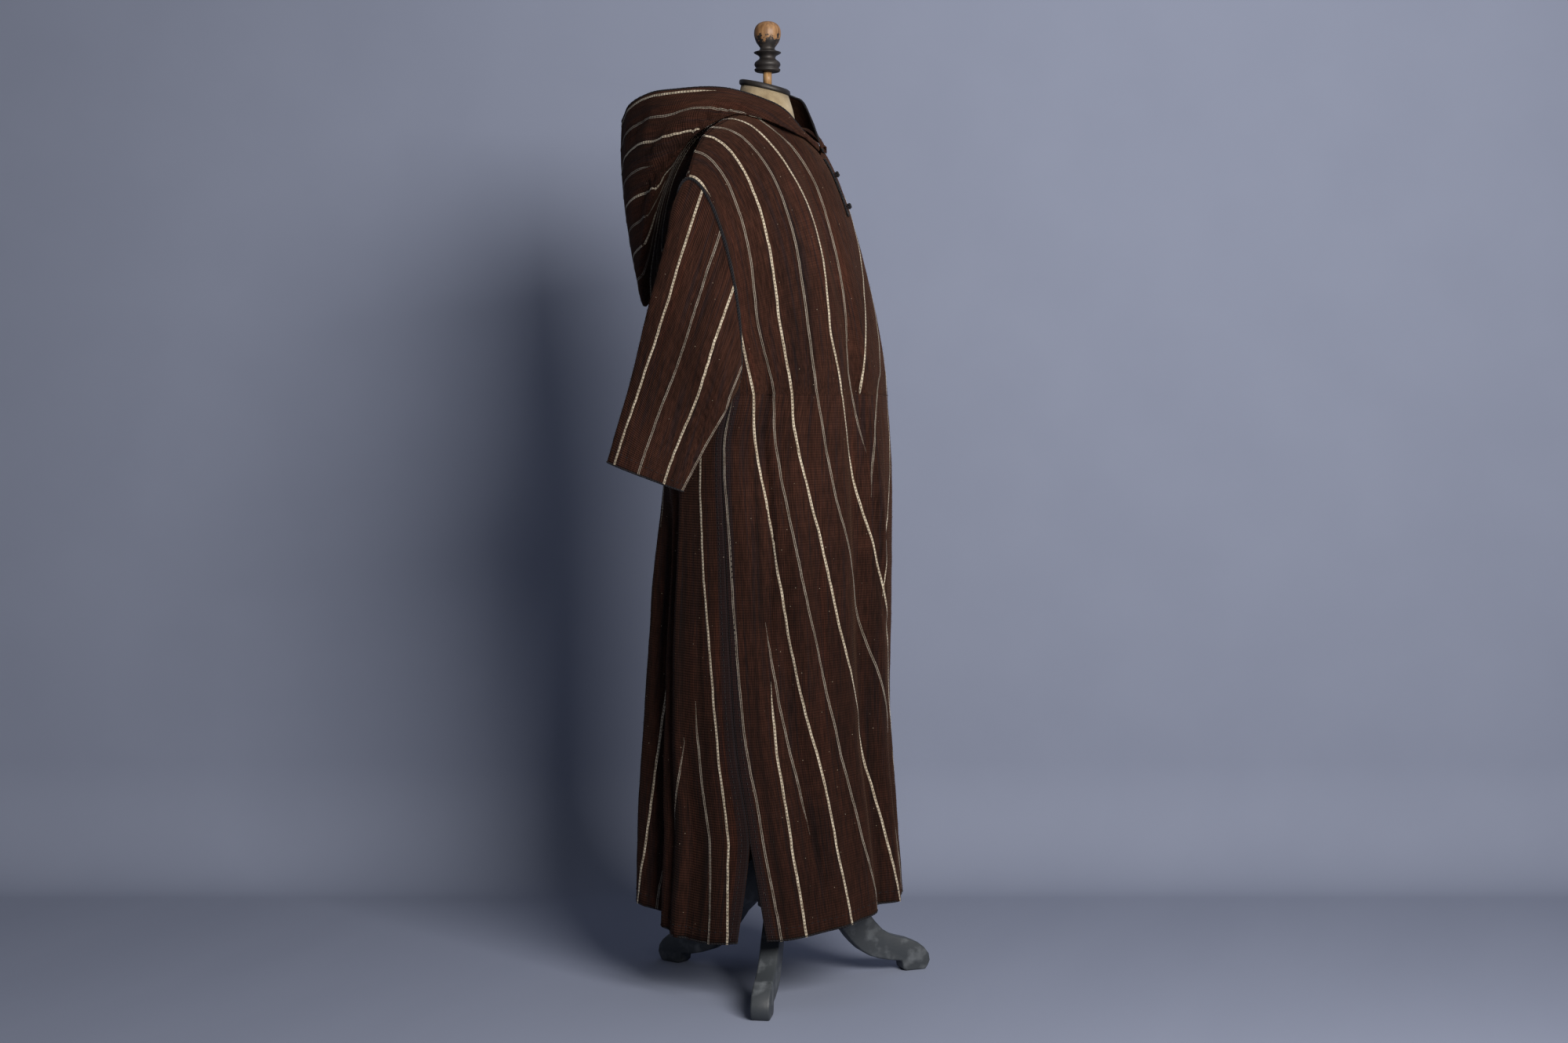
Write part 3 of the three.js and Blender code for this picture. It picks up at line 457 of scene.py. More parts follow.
class Sheet:
    """A grid of surface points in pattern millimetres that trim can be laid on."""

    def __init__(self, rows, closed=False, flip=False):
        self.rows = rows
        self.closed = closed
        self.flip = flip
        self.height = len(rows)
        self.width = len(rows[0])

    def point(self, i, j):
        """The surface point at fractional row i and column j."""
        i = min(max(i, 0.0), self.height - 1.000001)
        if self.closed:
            j %= self.width
        else:
            j = min(max(j, 0.0), self.width - 1.000001)
        a, b = int(i), int(j)
        s, t = i - a, j - b
        b2 = (b + 1) % self.width
        near = self.rows[a][b].lerp(self.rows[a][b2], t)
        far = self.rows[a + 1][b].lerp(self.rows[a + 1][b2], t)
        return near.lerp(far, s)

    def normal(self, i, j):
        """The outward normal at fractional row i and column j."""
        along = self.point(i + 0.6, j) - self.point(i - 0.6, j)
        across = self.point(i, j + 0.6) - self.point(i, j - 0.6)
        n = across.cross(along)
        if self.flip:
            n.negate()
        return n.normalized() if n.length > 1e-9 else Vector((0, 0, 1))

    def ruffle(self, amount, seed, keep):
        """Moves the points along their normals by soft, uneven wrinkles."""
        offsets = []
        for i in range(self.height):
            line = []
            for j in range(self.width):
                p = self.rows[i][j]
                slow = noise.noise(Vector((p.x * 0.02, p.y * 0.02, p.z * 0.006 + seed)))
                fast = noise.noise(Vector((p.x * 0.07, p.y * 0.07, p.z * 0.03 - seed)))
                line.append(self.normal(i, j) * amount * keep(i, j) * (slow + 0.35 * fast))
            offsets.append(line)
        for i in range(self.height):
            for j in range(self.width):
                self.rows[i][j] = self.rows[i][j] + offsets[i][j]

    def crease(self, places, depth, width):
        """Presses a soft line into the cloth along places; a positive depth raises it."""
        line = []
        for (i0, j0), (i1, j1) in zip(places, places[1:]):
            for n in range(12):
                line.append((mix(i0, i1, n / 12), mix(j0, j1, n / 12)))
        marks = [(self.point(i, j), self.normal(i, j)) for i, j in line]
        last = len(marks) - 1
        moves = []
        for i in range(self.height):
            for j in range(self.width):
                p = self.rows[i][j]
                n, gap = min(((n, (p - mark).length) for n, (mark, _) in enumerate(marks)),
                             key=lambda pair: pair[1])
                if gap < 3 * width:
                    fade = ease(0, 0.2 * last, n + 1) * ease(0, 0.25 * last, last - n + 1)
                    facing = max(0.0, marks[n][1].dot(self.normal(i, j)))
                    wave = 1 + 0.3 * math.sin(n * 0.7 + i)
                    push = depth * fade * facing * wave * math.exp(-((gap / width) ** 2))
                    moves.append((i, j, marks[n][1] * push))
        for i, j, move in moves:
            self.rows[i][j] = self.rows[i][j] + move

    def flat(self):
        """The cut of the cloth in metres: its widest row and its longest column."""
        wide = max(sum((b - a).length for a, b in zip(line, line[1:])) for line in self.rows)
        long = max(sum((b - a).length for a, b in zip(line, line[1:])) for line in zip(*self.rows))
        return round(wide / 1000 + 0.001, 3), round(long / 1000 + 0.001, 3)

    def area(self):
        """The surface area in square metres."""
        total = 0.0
        steps = self.width if self.closed else self.width - 1
        for i in range(self.height - 1):
            for j in range(steps):
                k = (j + 1) % self.width
                d1 = self.rows[i + 1][k] - self.rows[i][j]
                d2 = self.rows[i + 1][j] - self.rows[i][k]
                total += d1.cross(d2).length / 2
        return total / 1e6


def link(obj):
    """Puts an object in the scene."""
    bpy.context.scene.collection.objects.link(obj)
    return obj


def mesh_object(name, points, faces, material, uvs=None, smooth=True):
    """A mesh from pattern points; uvs holds one pair per point, in metres on the cloth."""
    mesh = bpy.data.meshes.new(name)
    mesh.from_pydata([to_frame(p) for p in points], [], faces)
    mesh.polygons.foreach_set("use_smooth", [smooth] * len(faces))
    if uvs is not None:
        layer = mesh.uv_layers.new(name="cloth")
        corner_uvs = []
        for polygon in mesh.polygons:
            corner = [uvs[k] for k in polygon.vertices]
            for u, v in corner:
                corner_uvs += [u, v]
        layer.data.foreach_set("uv", corner_uvs)
    mesh.materials.append(material)
    mesh.update()
    return link(bpy.data.objects.new(name, mesh))


def own(obj, slot, *nodes, parent=None):
    """Puts a finished piece under its parent or the root body and hides the solids it stands for; the
    slot is not used.
    """
    if parent is not None:
        obj.parent = parent
    else:
        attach(obj, "root")
    if nodes:
        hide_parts(*nodes)
    return obj


def thicken(obj, thickness):
    """Gives a cloth surface its thickness, half to each side."""
    solid = obj.modifiers.new("cloth thickness", "SOLIDIFY")
    solid.thickness = thickness
    solid.offset = 0
    solid.use_even_offset = False
    return obj


def sheet_mesh(name, sheet, uvs, material):
    """The open or tubular mesh of a sheet, with even thickness."""
    points = [p for line in sheet.rows for p in line]
    steps = sheet.width if sheet.closed else sheet.width - 1
    faces = []
    for i in range(sheet.height - 1):
        for j in range(steps):
            k = (j + 1) % sheet.width
            face = [i * sheet.width + j, i * sheet.width + k,
                    (i + 1) * sheet.width + k, (i + 1) * sheet.width + j]
            faces.append(face[::-1] if sheet.flip else face)
    flat = [uv for line in uvs for uv in line]
    obj = mesh_object(name, points, faces, material, flat)
    return thicken(obj, bpy.context.scene.robe_sizes.cloth_thickness)


TAPER_STEPS = 9
YARN_CROWN_MM = 0.35


def ribbon(builder, path, sheet, half_width, lift, shift=0.0, taper=(False, False)):
    """A flat strip along (i, j) places that wanders a little; a tapered end sinks in a fold."""
    points = [sheet.point(i, j) for i, j in path]
    length = 0.0
    base = len(builder["points"])
    for n, (i, j) in enumerate(path):
        before, after = points[max(0, n - 1)], points[min(len(points) - 1, n + 1)]
        if n:
            length += (points[n] - points[n - 1]).length
        along = (after - before).normalized()
        normal = sheet.normal(i, j)
        side = normal.cross(along).normalized()
        wander = 1.1 * noise.noise(points[n] * 0.022) + 0.5 * noise.noise(points[n] * 0.09)
        end = min(n if taper[0] else TAPER_STEPS, len(path) - 1 - n if taper[1] else TAPER_STEPS)
        full = mix(0.15, 1, ease(0, TAPER_STEPS, end))
        centre = points[n] + side * (shift * full + wander) + normal * lift * mix(0.6, 1, full)
        for edge in (-1, 0, 1):
            bulge = normal * (YARN_CROWN_MM if edge == 0 else 0)
            builder["points"].append(centre + side * half_width * full * edge + bulge)
            builder["uvs"].append((edge, length / 1000))
    for n in range(len(path) - 1):
        for edge in (0, 1):
            a = base + 3 * n + edge
            builder["faces"].append([a, a + 1, a + 4, a + 3])


def new_builder():
    """The points, faces and cloth coordinates of a mesh in the making."""
    return {"points": [], "faces": [], "uvs": []}


def tube(builder, centres, radius, sides=8, closed=False, squash=1.0, normals=None, twist=0.0,
         lobes=0, lobe_depth=0.0):
    """A round or flattened cord through points; lobes give it the ridges of its plies."""
    base = len(builder["points"])
    count = len(centres)
    length = 0.0
    for n, centre in enumerate(centres):
        before = centres[(n - 1) % count if closed else max(0, n - 1)]
        after = centres[(n + 1) % count if closed else min(count - 1, n + 1)]
        if n:
            length += (centre - centres[n - 1]).length
        along = (after - before).normalized()
        up = normals[n] if normals else Vector((0, 0, 1))
        if abs(up.dot(along)) > 0.95:
            up = Vector((1, 0, 0))
        side = along.cross(up).normalized()
        up = side.cross(along).normalized()
        for k in range(sides):
            a = 2 * math.pi * k / sides
            r = radius
            if lobes:
                r *= 1 + lobe_depth * math.cos(lobes * a + length * twist)
            builder["points"].append(centre + side * r * math.cos(a) + up * r * squash * math.sin(a))
            builder["uvs"].append((k / sides, length / 1000))
    spans = count if closed else count - 1
    for n in range(spans):
        for k in range(sides):
            m = (n + 1) % count
            a, b = base + n * sides + k, base + n * sides + (k + 1) % sides
            c, d = base + m * sides + (k + 1) % sides, base + m * sides + k
            builder["faces"].append([a, b, c, d])
    if not closed:
        builder["faces"].append([base + k for k in range(sides)][::-1])
        builder["faces"].append([base + (count - 1) * sides + k for k in range(sides)])


def build(name, builder, material, smooth=True):
    """The finished mesh of a builder."""
    return mesh_object(name, builder["points"], builder["faces"], material, builder["uvs"], smooth)


def edge_cord(builder, sheet, path, radius, lift=0.0, squash=1.0):
    """A sewn cord or rolled edge along a path on a sheet."""
    centres = [sheet.point(i, j) + sheet.normal(i, j) * lift for i, j in path]
    tube(builder, centres, radius, 8, squash=squash,
         normals=[sheet.normal(i, j) for i, j in path], twist=1.2, lobes=2, lobe_depth=0.14)


def stitches(builder, sheet, path, pitch, length, radius):
    """Running stitches along a path: short thread bars that dip at both ends."""
    points = [sheet.point(i, j) for i, j in path]
    travelled, target = 0.0, pitch
    for n in range(1, len(points)):
        step = (points[n] - points[n - 1]).length
        while travelled + step >= target and step > 0:
            t = (target - travelled) / step
            i, j = path[n]
            centre = points[n - 1].lerp(points[n], t)
            along = (points[n] - points[n - 1]).normalized()
            normal = sheet.normal(i, j)
            bar = [centre + along * length * s + normal * h
                   for s, h in ((-0.5, 0.7), (-0.2, 1.5), (0.2, 1.5), (0.5, 0.7))]
            tube(builder, bar, radius, 5, normals=[normal] * 4)
            target += pitch
        travelled += step


FIBRE_HALF_WIDTH_MM = 0.17
FIBRE_ROOT_MM = 0.5


def nap(name, sheet, count, length, material, seed, uv_at):
    """Loose wool fibres that stand off a sheet and soften its outline."""
    rng = random.Random(seed)
    builder = new_builder()
    for _ in range(count):
        i = rng.uniform(0, sheet.height - 1.001)
        j = rng.uniform(0, sheet.width - (0.001 if sheet.closed else 1.001))
        p, n = sheet.point(i, j), sheet.normal(i, j)
        drift = Vector((rng.gauss(0, 1), rng.gauss(0, 1), rng.gauss(0, 1)))
        tip = (n * rng.uniform(0.25, 1.0) + drift * 0.5 + Vector((0, 0, -0.25))).normalized()
        side = tip.cross(n)
        if side.length < 1e-6:
            continue
        side = side.normalized() * FIBRE_HALF_WIDTH_MM
        root = p + n * FIBRE_ROOT_MM
        reach = length * rng.uniform(0.5, 1.2)
        base = len(builder["points"])
        builder["points"] += [root - side, root + side, root + tip * reach]
        builder["uvs"] += [uv_at(i, j)] * 3
        builder["faces"].append([base, base + 1, base + 2])
    return build(name, builder, material, smooth=False)


# ---- materials -----------------------------------------------------------------------
BLACK, WHITE = "#000000", "#ffffff"

# Sizes of the patterns in millimetres.
WEFT_PITCH_MM = 4.2  # real ribs are about 2 mm apart; drawn coarser so that they show
WARP_PITCH_MM = 3.4  # drawn coarser for the same reason
BEAD_PITCH_MM = 6.0  # the chained yarn is finer; drawn coarser so that it shows
CORD_LAY_MM = 5.0
LINEN_THREAD_MM = 1.795  # real threads are 0.5 mm; drawn coarser so that they show
WORN_PATCH_MM = 143
LINT_SPACING_MM = 18.2
FUZZ_MM = 2.38
COTTON_FIBRE_MM = 2.0
STAIN_MM = 45.5
PAINT_CHIP_MM = 8.33
DUST_MM = 29.4
GRAIN_WIDTH_MM = 5.0
GRAIN_LENGTH_MM = 71.4
ROLLER_MARK_LENGTH_MM = 1111
ROLLER_MARK_WIDTH_MM = 222


def linear(hex_colour):
    """An sRGB hex value such as #46302a as a linear RGBA tuple."""
    values = [int(hex_colour[k:k + 2], 16) / 255 for k in (1, 3, 5)]
    return tuple(v / 12.92 if v <= 0.04045 else ((v + 0.055) / 1.055) ** 2.4 for v in values) + (1,)


def add(tree, kind, inputs=None, out=0, stops=(), **settings):
    """Adds a shader node with its settings and links, and gives one of its outputs.

    An input is a value, a hex colour or another node's output; stops fill a colour ramp.
    """
    made = tree.nodes.new("ShaderNode" + kind)
    for key, value in settings.items():
        setattr(made, key, value)
    for key, value in (inputs or {}).items():
        if isinstance(value, bpy.types.NodeSocket):
            tree.links.new(value, made.inputs[key])
        else:
            made.inputs[key].default_value = linear(value) if isinstance(value, str) else value
    elements = made.color_ramp.elements if stops else ()
    while len(elements) < len(stops):
        elements.new(0.5)
    for element, (place, colour) in zip(elements, stops):
        element.position = place
        element.color = linear(colour)
    return made.outputs[out] if made.outputs else None


def new_material(name, constants):
    """An empty material with its shader's constants, its tree and the shader."""
    material = bpy.data.materials.new(name)
    material.use_nodes = True
    tree = material.node_tree
    tree.nodes.clear()
    shader = add(tree, "BsdfPrincipled", constants)
    add(tree, "OutputMaterial", {"Surface": shader})
    return material, tree, shader.node


def set_surface(material, shader, colour, height=None, strength=0.0, depth=0.0):
    """Joins a colour to the shader, and a relief with a depth in metres."""
    tree = material.node_tree
    tree.links.new(colour, shader.inputs["Base Color"])
    if height is not None:
        relief = add(tree, "Bump", {"Height": height, "Strength": strength, "Distance": depth})
        tree.links.new(relief, shader.inputs["Normal"])
    return material


def tone(tree, colour, amount, source, *stops):
    """Darkens a colour by the tones that the source picks between the stops."""
    tones = add(tree, "ValToRGB", {"Fac": source}, stops=stops)
    return add(tree, "Mix", {0: amount, 6: colour, 7: tones}, 2, data_type="RGBA",
               blend_type="MULTIPLY")


def cover(tree, colour, mask, share, over):
    """Lays another colour over the first where the mask is high, by a share at most."""
    amount = add(tree, "Math", {0: mask, 1: share}, operation="MULTIPLY")
    return add(tree, "Mix", {0: amount, 6: colour, 7: over}, 2, data_type="RGBA")


def cloth_space(tree):
    """The cloth's own (u, v) in metres."""
    place = add(tree, "UVMap", uv_map="cloth")
    split = add(tree, "SeparateXYZ", {0: place}).node
    return split.outputs[0], split.outputs[1]


def streaks(tree, u, v, across, along, seed):
    """Noise drawn out along the warp: across and along are its sizes in millimetres."""
    place = add(tree, "CombineXYZ", {
        0: add(tree, "Math", {0: u, 1: 1000 / across}, operation="MULTIPLY"),
        1: add(tree, "Math", {0: v, 1: 1000 / along}, operation="MULTIPLY"),
        2: seed,
    })
    return add(tree, "TexNoise", {"Vector": place, "Scale": 1.0, "Detail": 2.0})


def threads(tree, along, pitch):
    """The rise and fall of threads that lie a pitch in millimetres apart."""
    turns = add(tree, "Math", {0: along, 1: 2000 * math.pi / pitch}, operation="MULTIPLY")
    return add(tree, "Math", {0: turns}, operation="SINE")


def hand_woven_wool(name, seed, selvedge=0.0):
    """Hand-woven, napped brown wool: matt ribbed cloth with darker and redder warp streaks.

    Beyond the selvedge, in metres from the middle, the warp is blue-black; such body panels
    are also painted darker towards the hem: painted shade where the key light falls off downwards.
    """
    colours = bpy.context.scene.robe_colours
    material, tree, shader = new_material(name, {
        "Roughness": 0.95, "Sheen Weight": 0.2, "Sheen Roughness": 0.45,
        "Sheen Tint": "#7d5b45", "Specular IOR Level": 0.12,
    })
    u, v = cloth_space(tree)
    broad, narrow, yarn, slub = (
        streaks(tree, u, v, across, along, seed + step)
        for across, along, step in ((26, 900, 0), (5.5, 240, 3.1), (1.6, 26, 7.7), (60, 3, 5)))
    colour = add(tree, "ValToRGB", {"Fac": broad}, stops=(
        (0.3, colours.shade), (0.46, colours.brown), (0.58, colours.brown),
        (0.74, colours.red_brown)))
    bands = add(tree, "ValToRGB", {"Fac": narrow}, stops=((0.52, BLACK), (0.66, WHITE)))
    colour = cover(tree, colour, bands, 0.55, colours.indigo)
    colour = tone(tree, colour, 0.85, yarn, (0.32, "#8f8681"), (0.68, WHITE))
    colour = tone(tree, colour, 0.3, slub, (0.35, "#9c938c"), (0.65, WHITE))
    if selvedge:
        edge = add(tree, "Math", {0: u}, operation="ABSOLUTE")
        beyond = add(tree, "Math", {0: edge, 1: selvedge}, operation="GREATER_THAN")
        colour = cover(tree, colour, beyond, 0.6, colours.indigo)
    weft, warp = threads(tree, v, WEFT_PITCH_MM), threads(tree, u, WARP_PITCH_MM)
    ribs = add(tree, "Math", {0: warp, 1: 0.35, 2: weft}, operation="MULTIPLY_ADD")
    # Painted shade: the cloth is darker in the hollows between the weft ribs.
    rise = add(tree, "Math", {0: weft, 1: 0.5, 2: 0.5}, operation="MULTIPLY_ADD")
    colour = tone(tree, colour, 0.16, rise, (0.1, "#7a706a"), (0.9, WHITE))
    place = add(tree, "TexCoord", out="Object")
    worn = add(tree, "TexNoise", {"Vector": place, "Scale": 1000 / WORN_PATCH_MM, "Detail": 3.0})
    colour = tone(tree, colour, 0.45, worn, (0.35, "#a39a94"), (0.62, WHITE))
    # Painted shade: the body panels darken from the hem up to the underarm, standing in for the key
    # light falling off downwards.
    if selvedge:
        height = add(tree, "SeparateXYZ", {0: place}, 2)
        height = add(tree, "Math", {0: height, 1: 0.9}, operation="MULTIPLY", use_clamp=True)
        colour = tone(tree, colour, 1.0, height, (0.1, "#d9d3d0"), (0.5, "#d4cdc9"), (0.95, WHITE))
    lint = add(tree, "TexVoronoi", {"Vector": place, "Scale": 1000 / LINT_SPACING_MM})
    specks = add(tree, "ValToRGB", {"Fac": lint}, stops=((0.035, WHITE), (0.05, BLACK)))
    colour = cover(tree, colour, specks, 0.4, "#a79a86")
    fuzz = add(tree, "TexNoise", {"Vector": place, "Scale": 1000 / FUZZ_MM, "Detail": 4.0})
    height = add(tree, "Math", {0: fuzz, 1: 1.6, 2: ribs}, operation="MULTIPLY_ADD")
    height = add(tree, "Math", {0: yarn, 1: 1.2, 2: height}, operation="MULTIPLY_ADD")
    return set_surface(material, shader, colour, height, 0.55, 0.0009)


def cream_stripe(name, hex_colour, beaded):
    """Cream cotton stripe woven into the wool: a raised light line, chained or plain."""
    material, tree, shader = new_material(name, {
        "Roughness": 0.9, "Sheen Weight": 0.2, "Specular IOR Level": 0.2})
    u, v = cloth_space(tree)
    soil = streaks(tree, u, v, 900, 30, 2.0)
    colour = tone(tree, hex_colour, 1.0, soil, (0.3, "#8d8172"), (0.6, WHITE))
    chain = threads(tree, v, BEAD_PITCH_MM)
    if beaded:
        edge = add(tree, "Math", {0: u}, operation="ABSOLUTE")
        middle = add(tree, "Math", {0: 1.0, 1: edge}, operation="SUBTRACT", use_clamp=True)
        gap = add(tree, "Math", {0: chain, 1: 0.35}, operation="GREATER_THAN")
        gap = add(tree, "Math", {0: gap, 1: middle}, operation="MULTIPLY")
        colour = cover(tree, colour, gap, 0.9, bpy.context.scene.robe_colours.shade)
    place = add(tree, "TexCoord", out="Object")
    fibre = add(tree, "TexNoise", {"Vector": place, "Scale": 1000 / COTTON_FIBRE_MM})
    colour = tone(tree, colour, 0.7, fibre, (0.3, "#b5aa9a"), (0.7, WHITE))
    return set_surface(material, shader, colour, chain, 0.5, 0.0006)


def twisted_cord(name, hex_colour):
    """Blue-black plied wool cord: matt, with slanting plies."""
    material, tree, shader = new_material(name, {
        "Roughness": 0.9, "Sheen Weight": 0.06, "Specular IOR Level": 0.15})
    u, v = cloth_space(tree)
    turns = add(tree, "Math", {0: v, 1: 2000 * math.pi / CORD_LAY_MM}, operation="MULTIPLY")
    slant = add(tree, "Math", {0: u, 1: 4 * math.pi, 2: turns}, operation="MULTIPLY_ADD")
    plies = add(tree, "Math", {0: slant}, operation="SINE")
    plies = add(tree, "Math", {0: plies, 1: 0.5, 2: 0.5}, operation="MULTIPLY_ADD")
    # Painted shade: the cord is darker in the grooves between its plies.
    colour = tone(tree, hex_colour, 0.8, plies, (0.1, "#55525a"), (0.8, WHITE))
    return set_surface(material, shader, colour, plies, 0.7, 0.0008)


def aged_linen(name):
    """Plain-woven undyed linen gone yellow with age: fine threads, soft brown stains."""
    material, tree, shader = new_material(name, {
        "Roughness": 0.9, "Sheen Weight": 0.1, "Specular IOR Level": 0.2})
    place = add(tree, "TexCoord", out="Object")
    stains = add(tree, "TexNoise", {"Vector": place, "Scale": 1000 / STAIN_MM, "Detail": 5.0})
    colour = add(tree, "ValToRGB", {"Fac": stains}, stops=(
        (0.3, "#5d4d3a"), (0.5, "#8f8066"), (0.7, "#a89a80")))
    u, v = cloth_space(tree)
    weave = add(tree, "Math", {
        0: threads(tree, u, LINEN_THREAD_MM), 1: threads(tree, v, LINEN_THREAD_MM),
    }, operation="MULTIPLY")
    # Painted shade: the linen is darker in the hollows between its threads.
    rise = add(tree, "Math", {0: weave, 1: 0.5, 2: 0.5}, operation="MULTIPLY_ADD")
    colour = tone(tree, colour, 0.3, rise, (0.2, "#8c8070"), (0.8, WHITE))
    return set_surface(material, shader, colour, weave, 0.4, 0.0004)


def worn_paint(name, paint, wood, wear, scuff, grain_axis=2):
    """Old oil paint on turned or sawn wood: dark, half matt, rubbed to tan wood in places.

    Wear holds a height and a span in metres, how much the wear grows over that span, and
    how much there is below it.
    """
    material, tree, shader = new_material(name, {"Roughness": 0.55, "Specular IOR Level": 0.4})
    place = add(tree, "TexCoord", out="Object")
    height, span, growth, least = wear
    above = add(tree, "SeparateXYZ", {0: place}, 2)
    above = add(tree, "Math", {0: above, 1: height}, operation="SUBTRACT")
    above = add(tree, "Math", {0: above, 1: 1 / span, 2: 0.5}, operation="MULTIPLY_ADD",
                use_clamp=True)
    amount = add(tree, "Math", {0: above, 1: growth, 2: least}, operation="MULTIPLY_ADD")
    chips = add(tree, "TexNoise", {
        "Vector": place, "Scale": 1000 / PAINT_CHIP_MM, "Detail": 8.0, "Roughness": 0.7})
    bare = add(tree, "Math", {0: chips, 1: amount}, operation="ADD")
    bare = add(tree, "Math", {0: bare, 1: 1.0}, operation="GREATER_THAN")
    scale = [1000 / GRAIN_WIDTH_MM] * 3
    scale[grain_axis] = 1000 / GRAIN_LENGTH_MM
    drawn_out = add(tree, "Mapping", {"Vector": place, "Scale": scale})
    grain = add(tree, "TexNoise", {"Vector": drawn_out, "Scale": 1.0, "Detail": 3.0})
    tan = tone(tree, wood, 0.7, grain, (0.3, "#6e5238"), (0.7, WHITE))
    dust = add(tree, "TexNoise", {"Vector": place, "Scale": 1000 / DUST_MM, "Detail": 6.0})
    dusty = add(tree, "ValToRGB", {"Fac": dust}, stops=((0.5, BLACK), (0.72, WHITE)))
    coat = cover(tree, paint, dusty, 0.5, scuff)
    colour = cover(tree, coat, bare, 1.0, tan)
    gloss = add(tree, "Math", {0: dust, 1: 0.35, 2: 0.35}, operation="MULTIPLY_ADD")
    tree.links.new(gloss, shader.inputs["Roughness"])
    relief = add(tree, "Math", {0: bare, 1: -1.2, 2: grain}, operation="MULTIPLY_ADD")
    return set_surface(material, shader, colour, relief, 0.4, 0.0006)


def painted_studio(name, hex_colour):
    """Matt painted canvas of a studio: pale, almost even, with faint roller marks."""
    material, tree, shader = new_material(name, {"Roughness": 0.9, "Specular IOR Level": 0.1})
    place = add(tree, "TexCoord", out="Object")
    scale = [1000 / size for size in (ROLLER_MARK_LENGTH_MM, *[ROLLER_MARK_WIDTH_MM] * 2)]
    marks = add(tree, "Mapping", {"Vector": place, "Scale": scale})
    cloudy = add(tree, "TexNoise", {"Vector": marks, "Scale": 1.0, "Detail": 4.0})
    colour = tone(tree, hex_colour, 0.14, cloudy, (0.3, "#d9dbe0"), (0.7, WHITE))
    return set_surface(material, shader, colour)


_made = {}


def finish_of(key, make, *values):
    """The shared material of that name, made on first use."""
    if key not in _made:
        _made[key] = make(key, *values)
    return _made[key]


def cord_material():
    """The one cord finish that all trim shares."""
    return finish_of("blue_black_plied_wool", twisted_cord, bpy.context.scene.robe_colours.cord)


# ---- stripes -------------------------------------------------------------------------
# Each stripe is a path over a panel: its share of the half width at a row, where row 0 is
# the hem, 1 the underarm and 2 the shoulder. Beaded stripes alternate with paired lines.
FRONT_STRIPES = table(
    "beaded start end path",
    (False, 0.0, 1.0, ((0, -0.92), (0.25, -0.935), (0.5, -0.958), (0.75, -0.975), (1.0, -0.99))),
    (True, 0.0, 0.47, ((0, -0.78), (0.25, -0.79), (0.47, -0.797))),
    (False, 0.18, 0.58, ((0.18, -0.677), (0.29, -0.706), (0.4, -0.75), (0.58, -0.812))),
    (True, 0.0, 1.4, ((0, -0.508), (0.12, -0.545), (0.3, -0.582), (0.45, -0.655), (0.6, -0.712),
                      (0.79, -0.778), (0.9, -0.826), (1.08, -0.88), (1.28, -0.908),
                      (1.41, -0.948))),
    (False, 0.0, 2.0, ((0, -0.29), (0.15, -0.385), (0.32, -0.455), (0.47, -0.53), (0.6, -0.6),
                       (0.76, -0.668), (0.9, -0.724), (1.08, -0.77), (1.28, -0.78), (1.64, -0.758),
                       (2.0, -0.73))),
    (True, 0.0, 2.0, ((0, -0.09), (0.1, -0.139), (0.24, -0.2), (0.36, -0.275), (0.47, -0.375),
                      (0.56, -0.437), (0.74, -0.53), (0.9, -0.622), (1.08, -0.68), (1.31, -0.69),
                      (1.6, -0.674), (2.0, -0.643))),
    (False, 0.0, 2.0, ((0, 0.12), (0.18, 0.01), (0.36, -0.085), (0.5, -0.195), (0.64, -0.31),
                       (0.78, -0.418), (0.94, -0.5), (1.12, -0.55), (1.35, -0.57), (1.7, -0.552),
                       (2.0, -0.58))),
    (True, 0.0, 2.0, ((0, 0.28), (0.3, 0.12), (0.5, -0.02), (0.66, -0.155), (0.8, -0.25),
                      (0.95, -0.35), (1.15, -0.4), (1.32, -0.44), (1.56, -0.385), (1.76, -0.435),
                      (2.0, -0.48))),
    (False, 0.88, 2.0, ((0.78, -0.15), (0.92, -0.23), (1.08, -0.29), (1.2, -0.31),
                        (1.4, -0.258), (1.65, -0.215), (1.75, -0.24), (1.86, -0.345),
                        (2.0, -0.36))),
    (True, 1.02, 1.72, ((0.93, -0.235), (1.1, -0.23), (1.25, -0.185), (1.38, -0.1), (1.5, -0.01),
                        (1.6, 0.06), (1.72, 0.12))),
    (False, 0.8, 2.0, ((0.74, -0.2), (0.9, -0.178), (1.05, -0.1), (1.2, -0.02), (1.34, 0.06),
                       (1.6, 0.2), (2.0, 0.36))),
    (True, 0.6, 2.0, ((0.6, -0.125), (0.66, -0.11), (0.76, -0.03), (0.87, 0.06), (1.0, 0.13),
                      (1.3, 0.23), (1.6, 0.33), (2.0, 0.48))),
    (True, 1.8, 2.0, ((1.8, -0.935), (1.9, -0.925), (2.0, -0.92))),
    (False, 0.0, 2.0, ((0, 0.44), (0.4, 0.3), (0.8, 0.23), (1.1, 0.27), (1.5, 0.4), (2.0, 0.58))),
    (True, 0.0, 2.0, ((0, 0.57), (0.4, 0.45), (0.8, 0.38), (1.2, 0.43), (1.6, 0.55), (2.0, 0.66))),
    (False, 0.0, 1.75, ((0, 0.7), (0.4, 0.59), (0.8, 0.53), (1.2, 0.59), (1.5, 0.71),
                        (1.75, 0.86))),
    (True, 0.0, 1.45, ((0, 0.82), (0.4, 0.73), (0.8, 0.68), (1.2, 0.75), (1.45, 0.9))),
    (False, 0.0, 1.15, ((0, 0.93), (0.4, 0.87), (0.8, 0.83), (1.15, 0.93))),
)
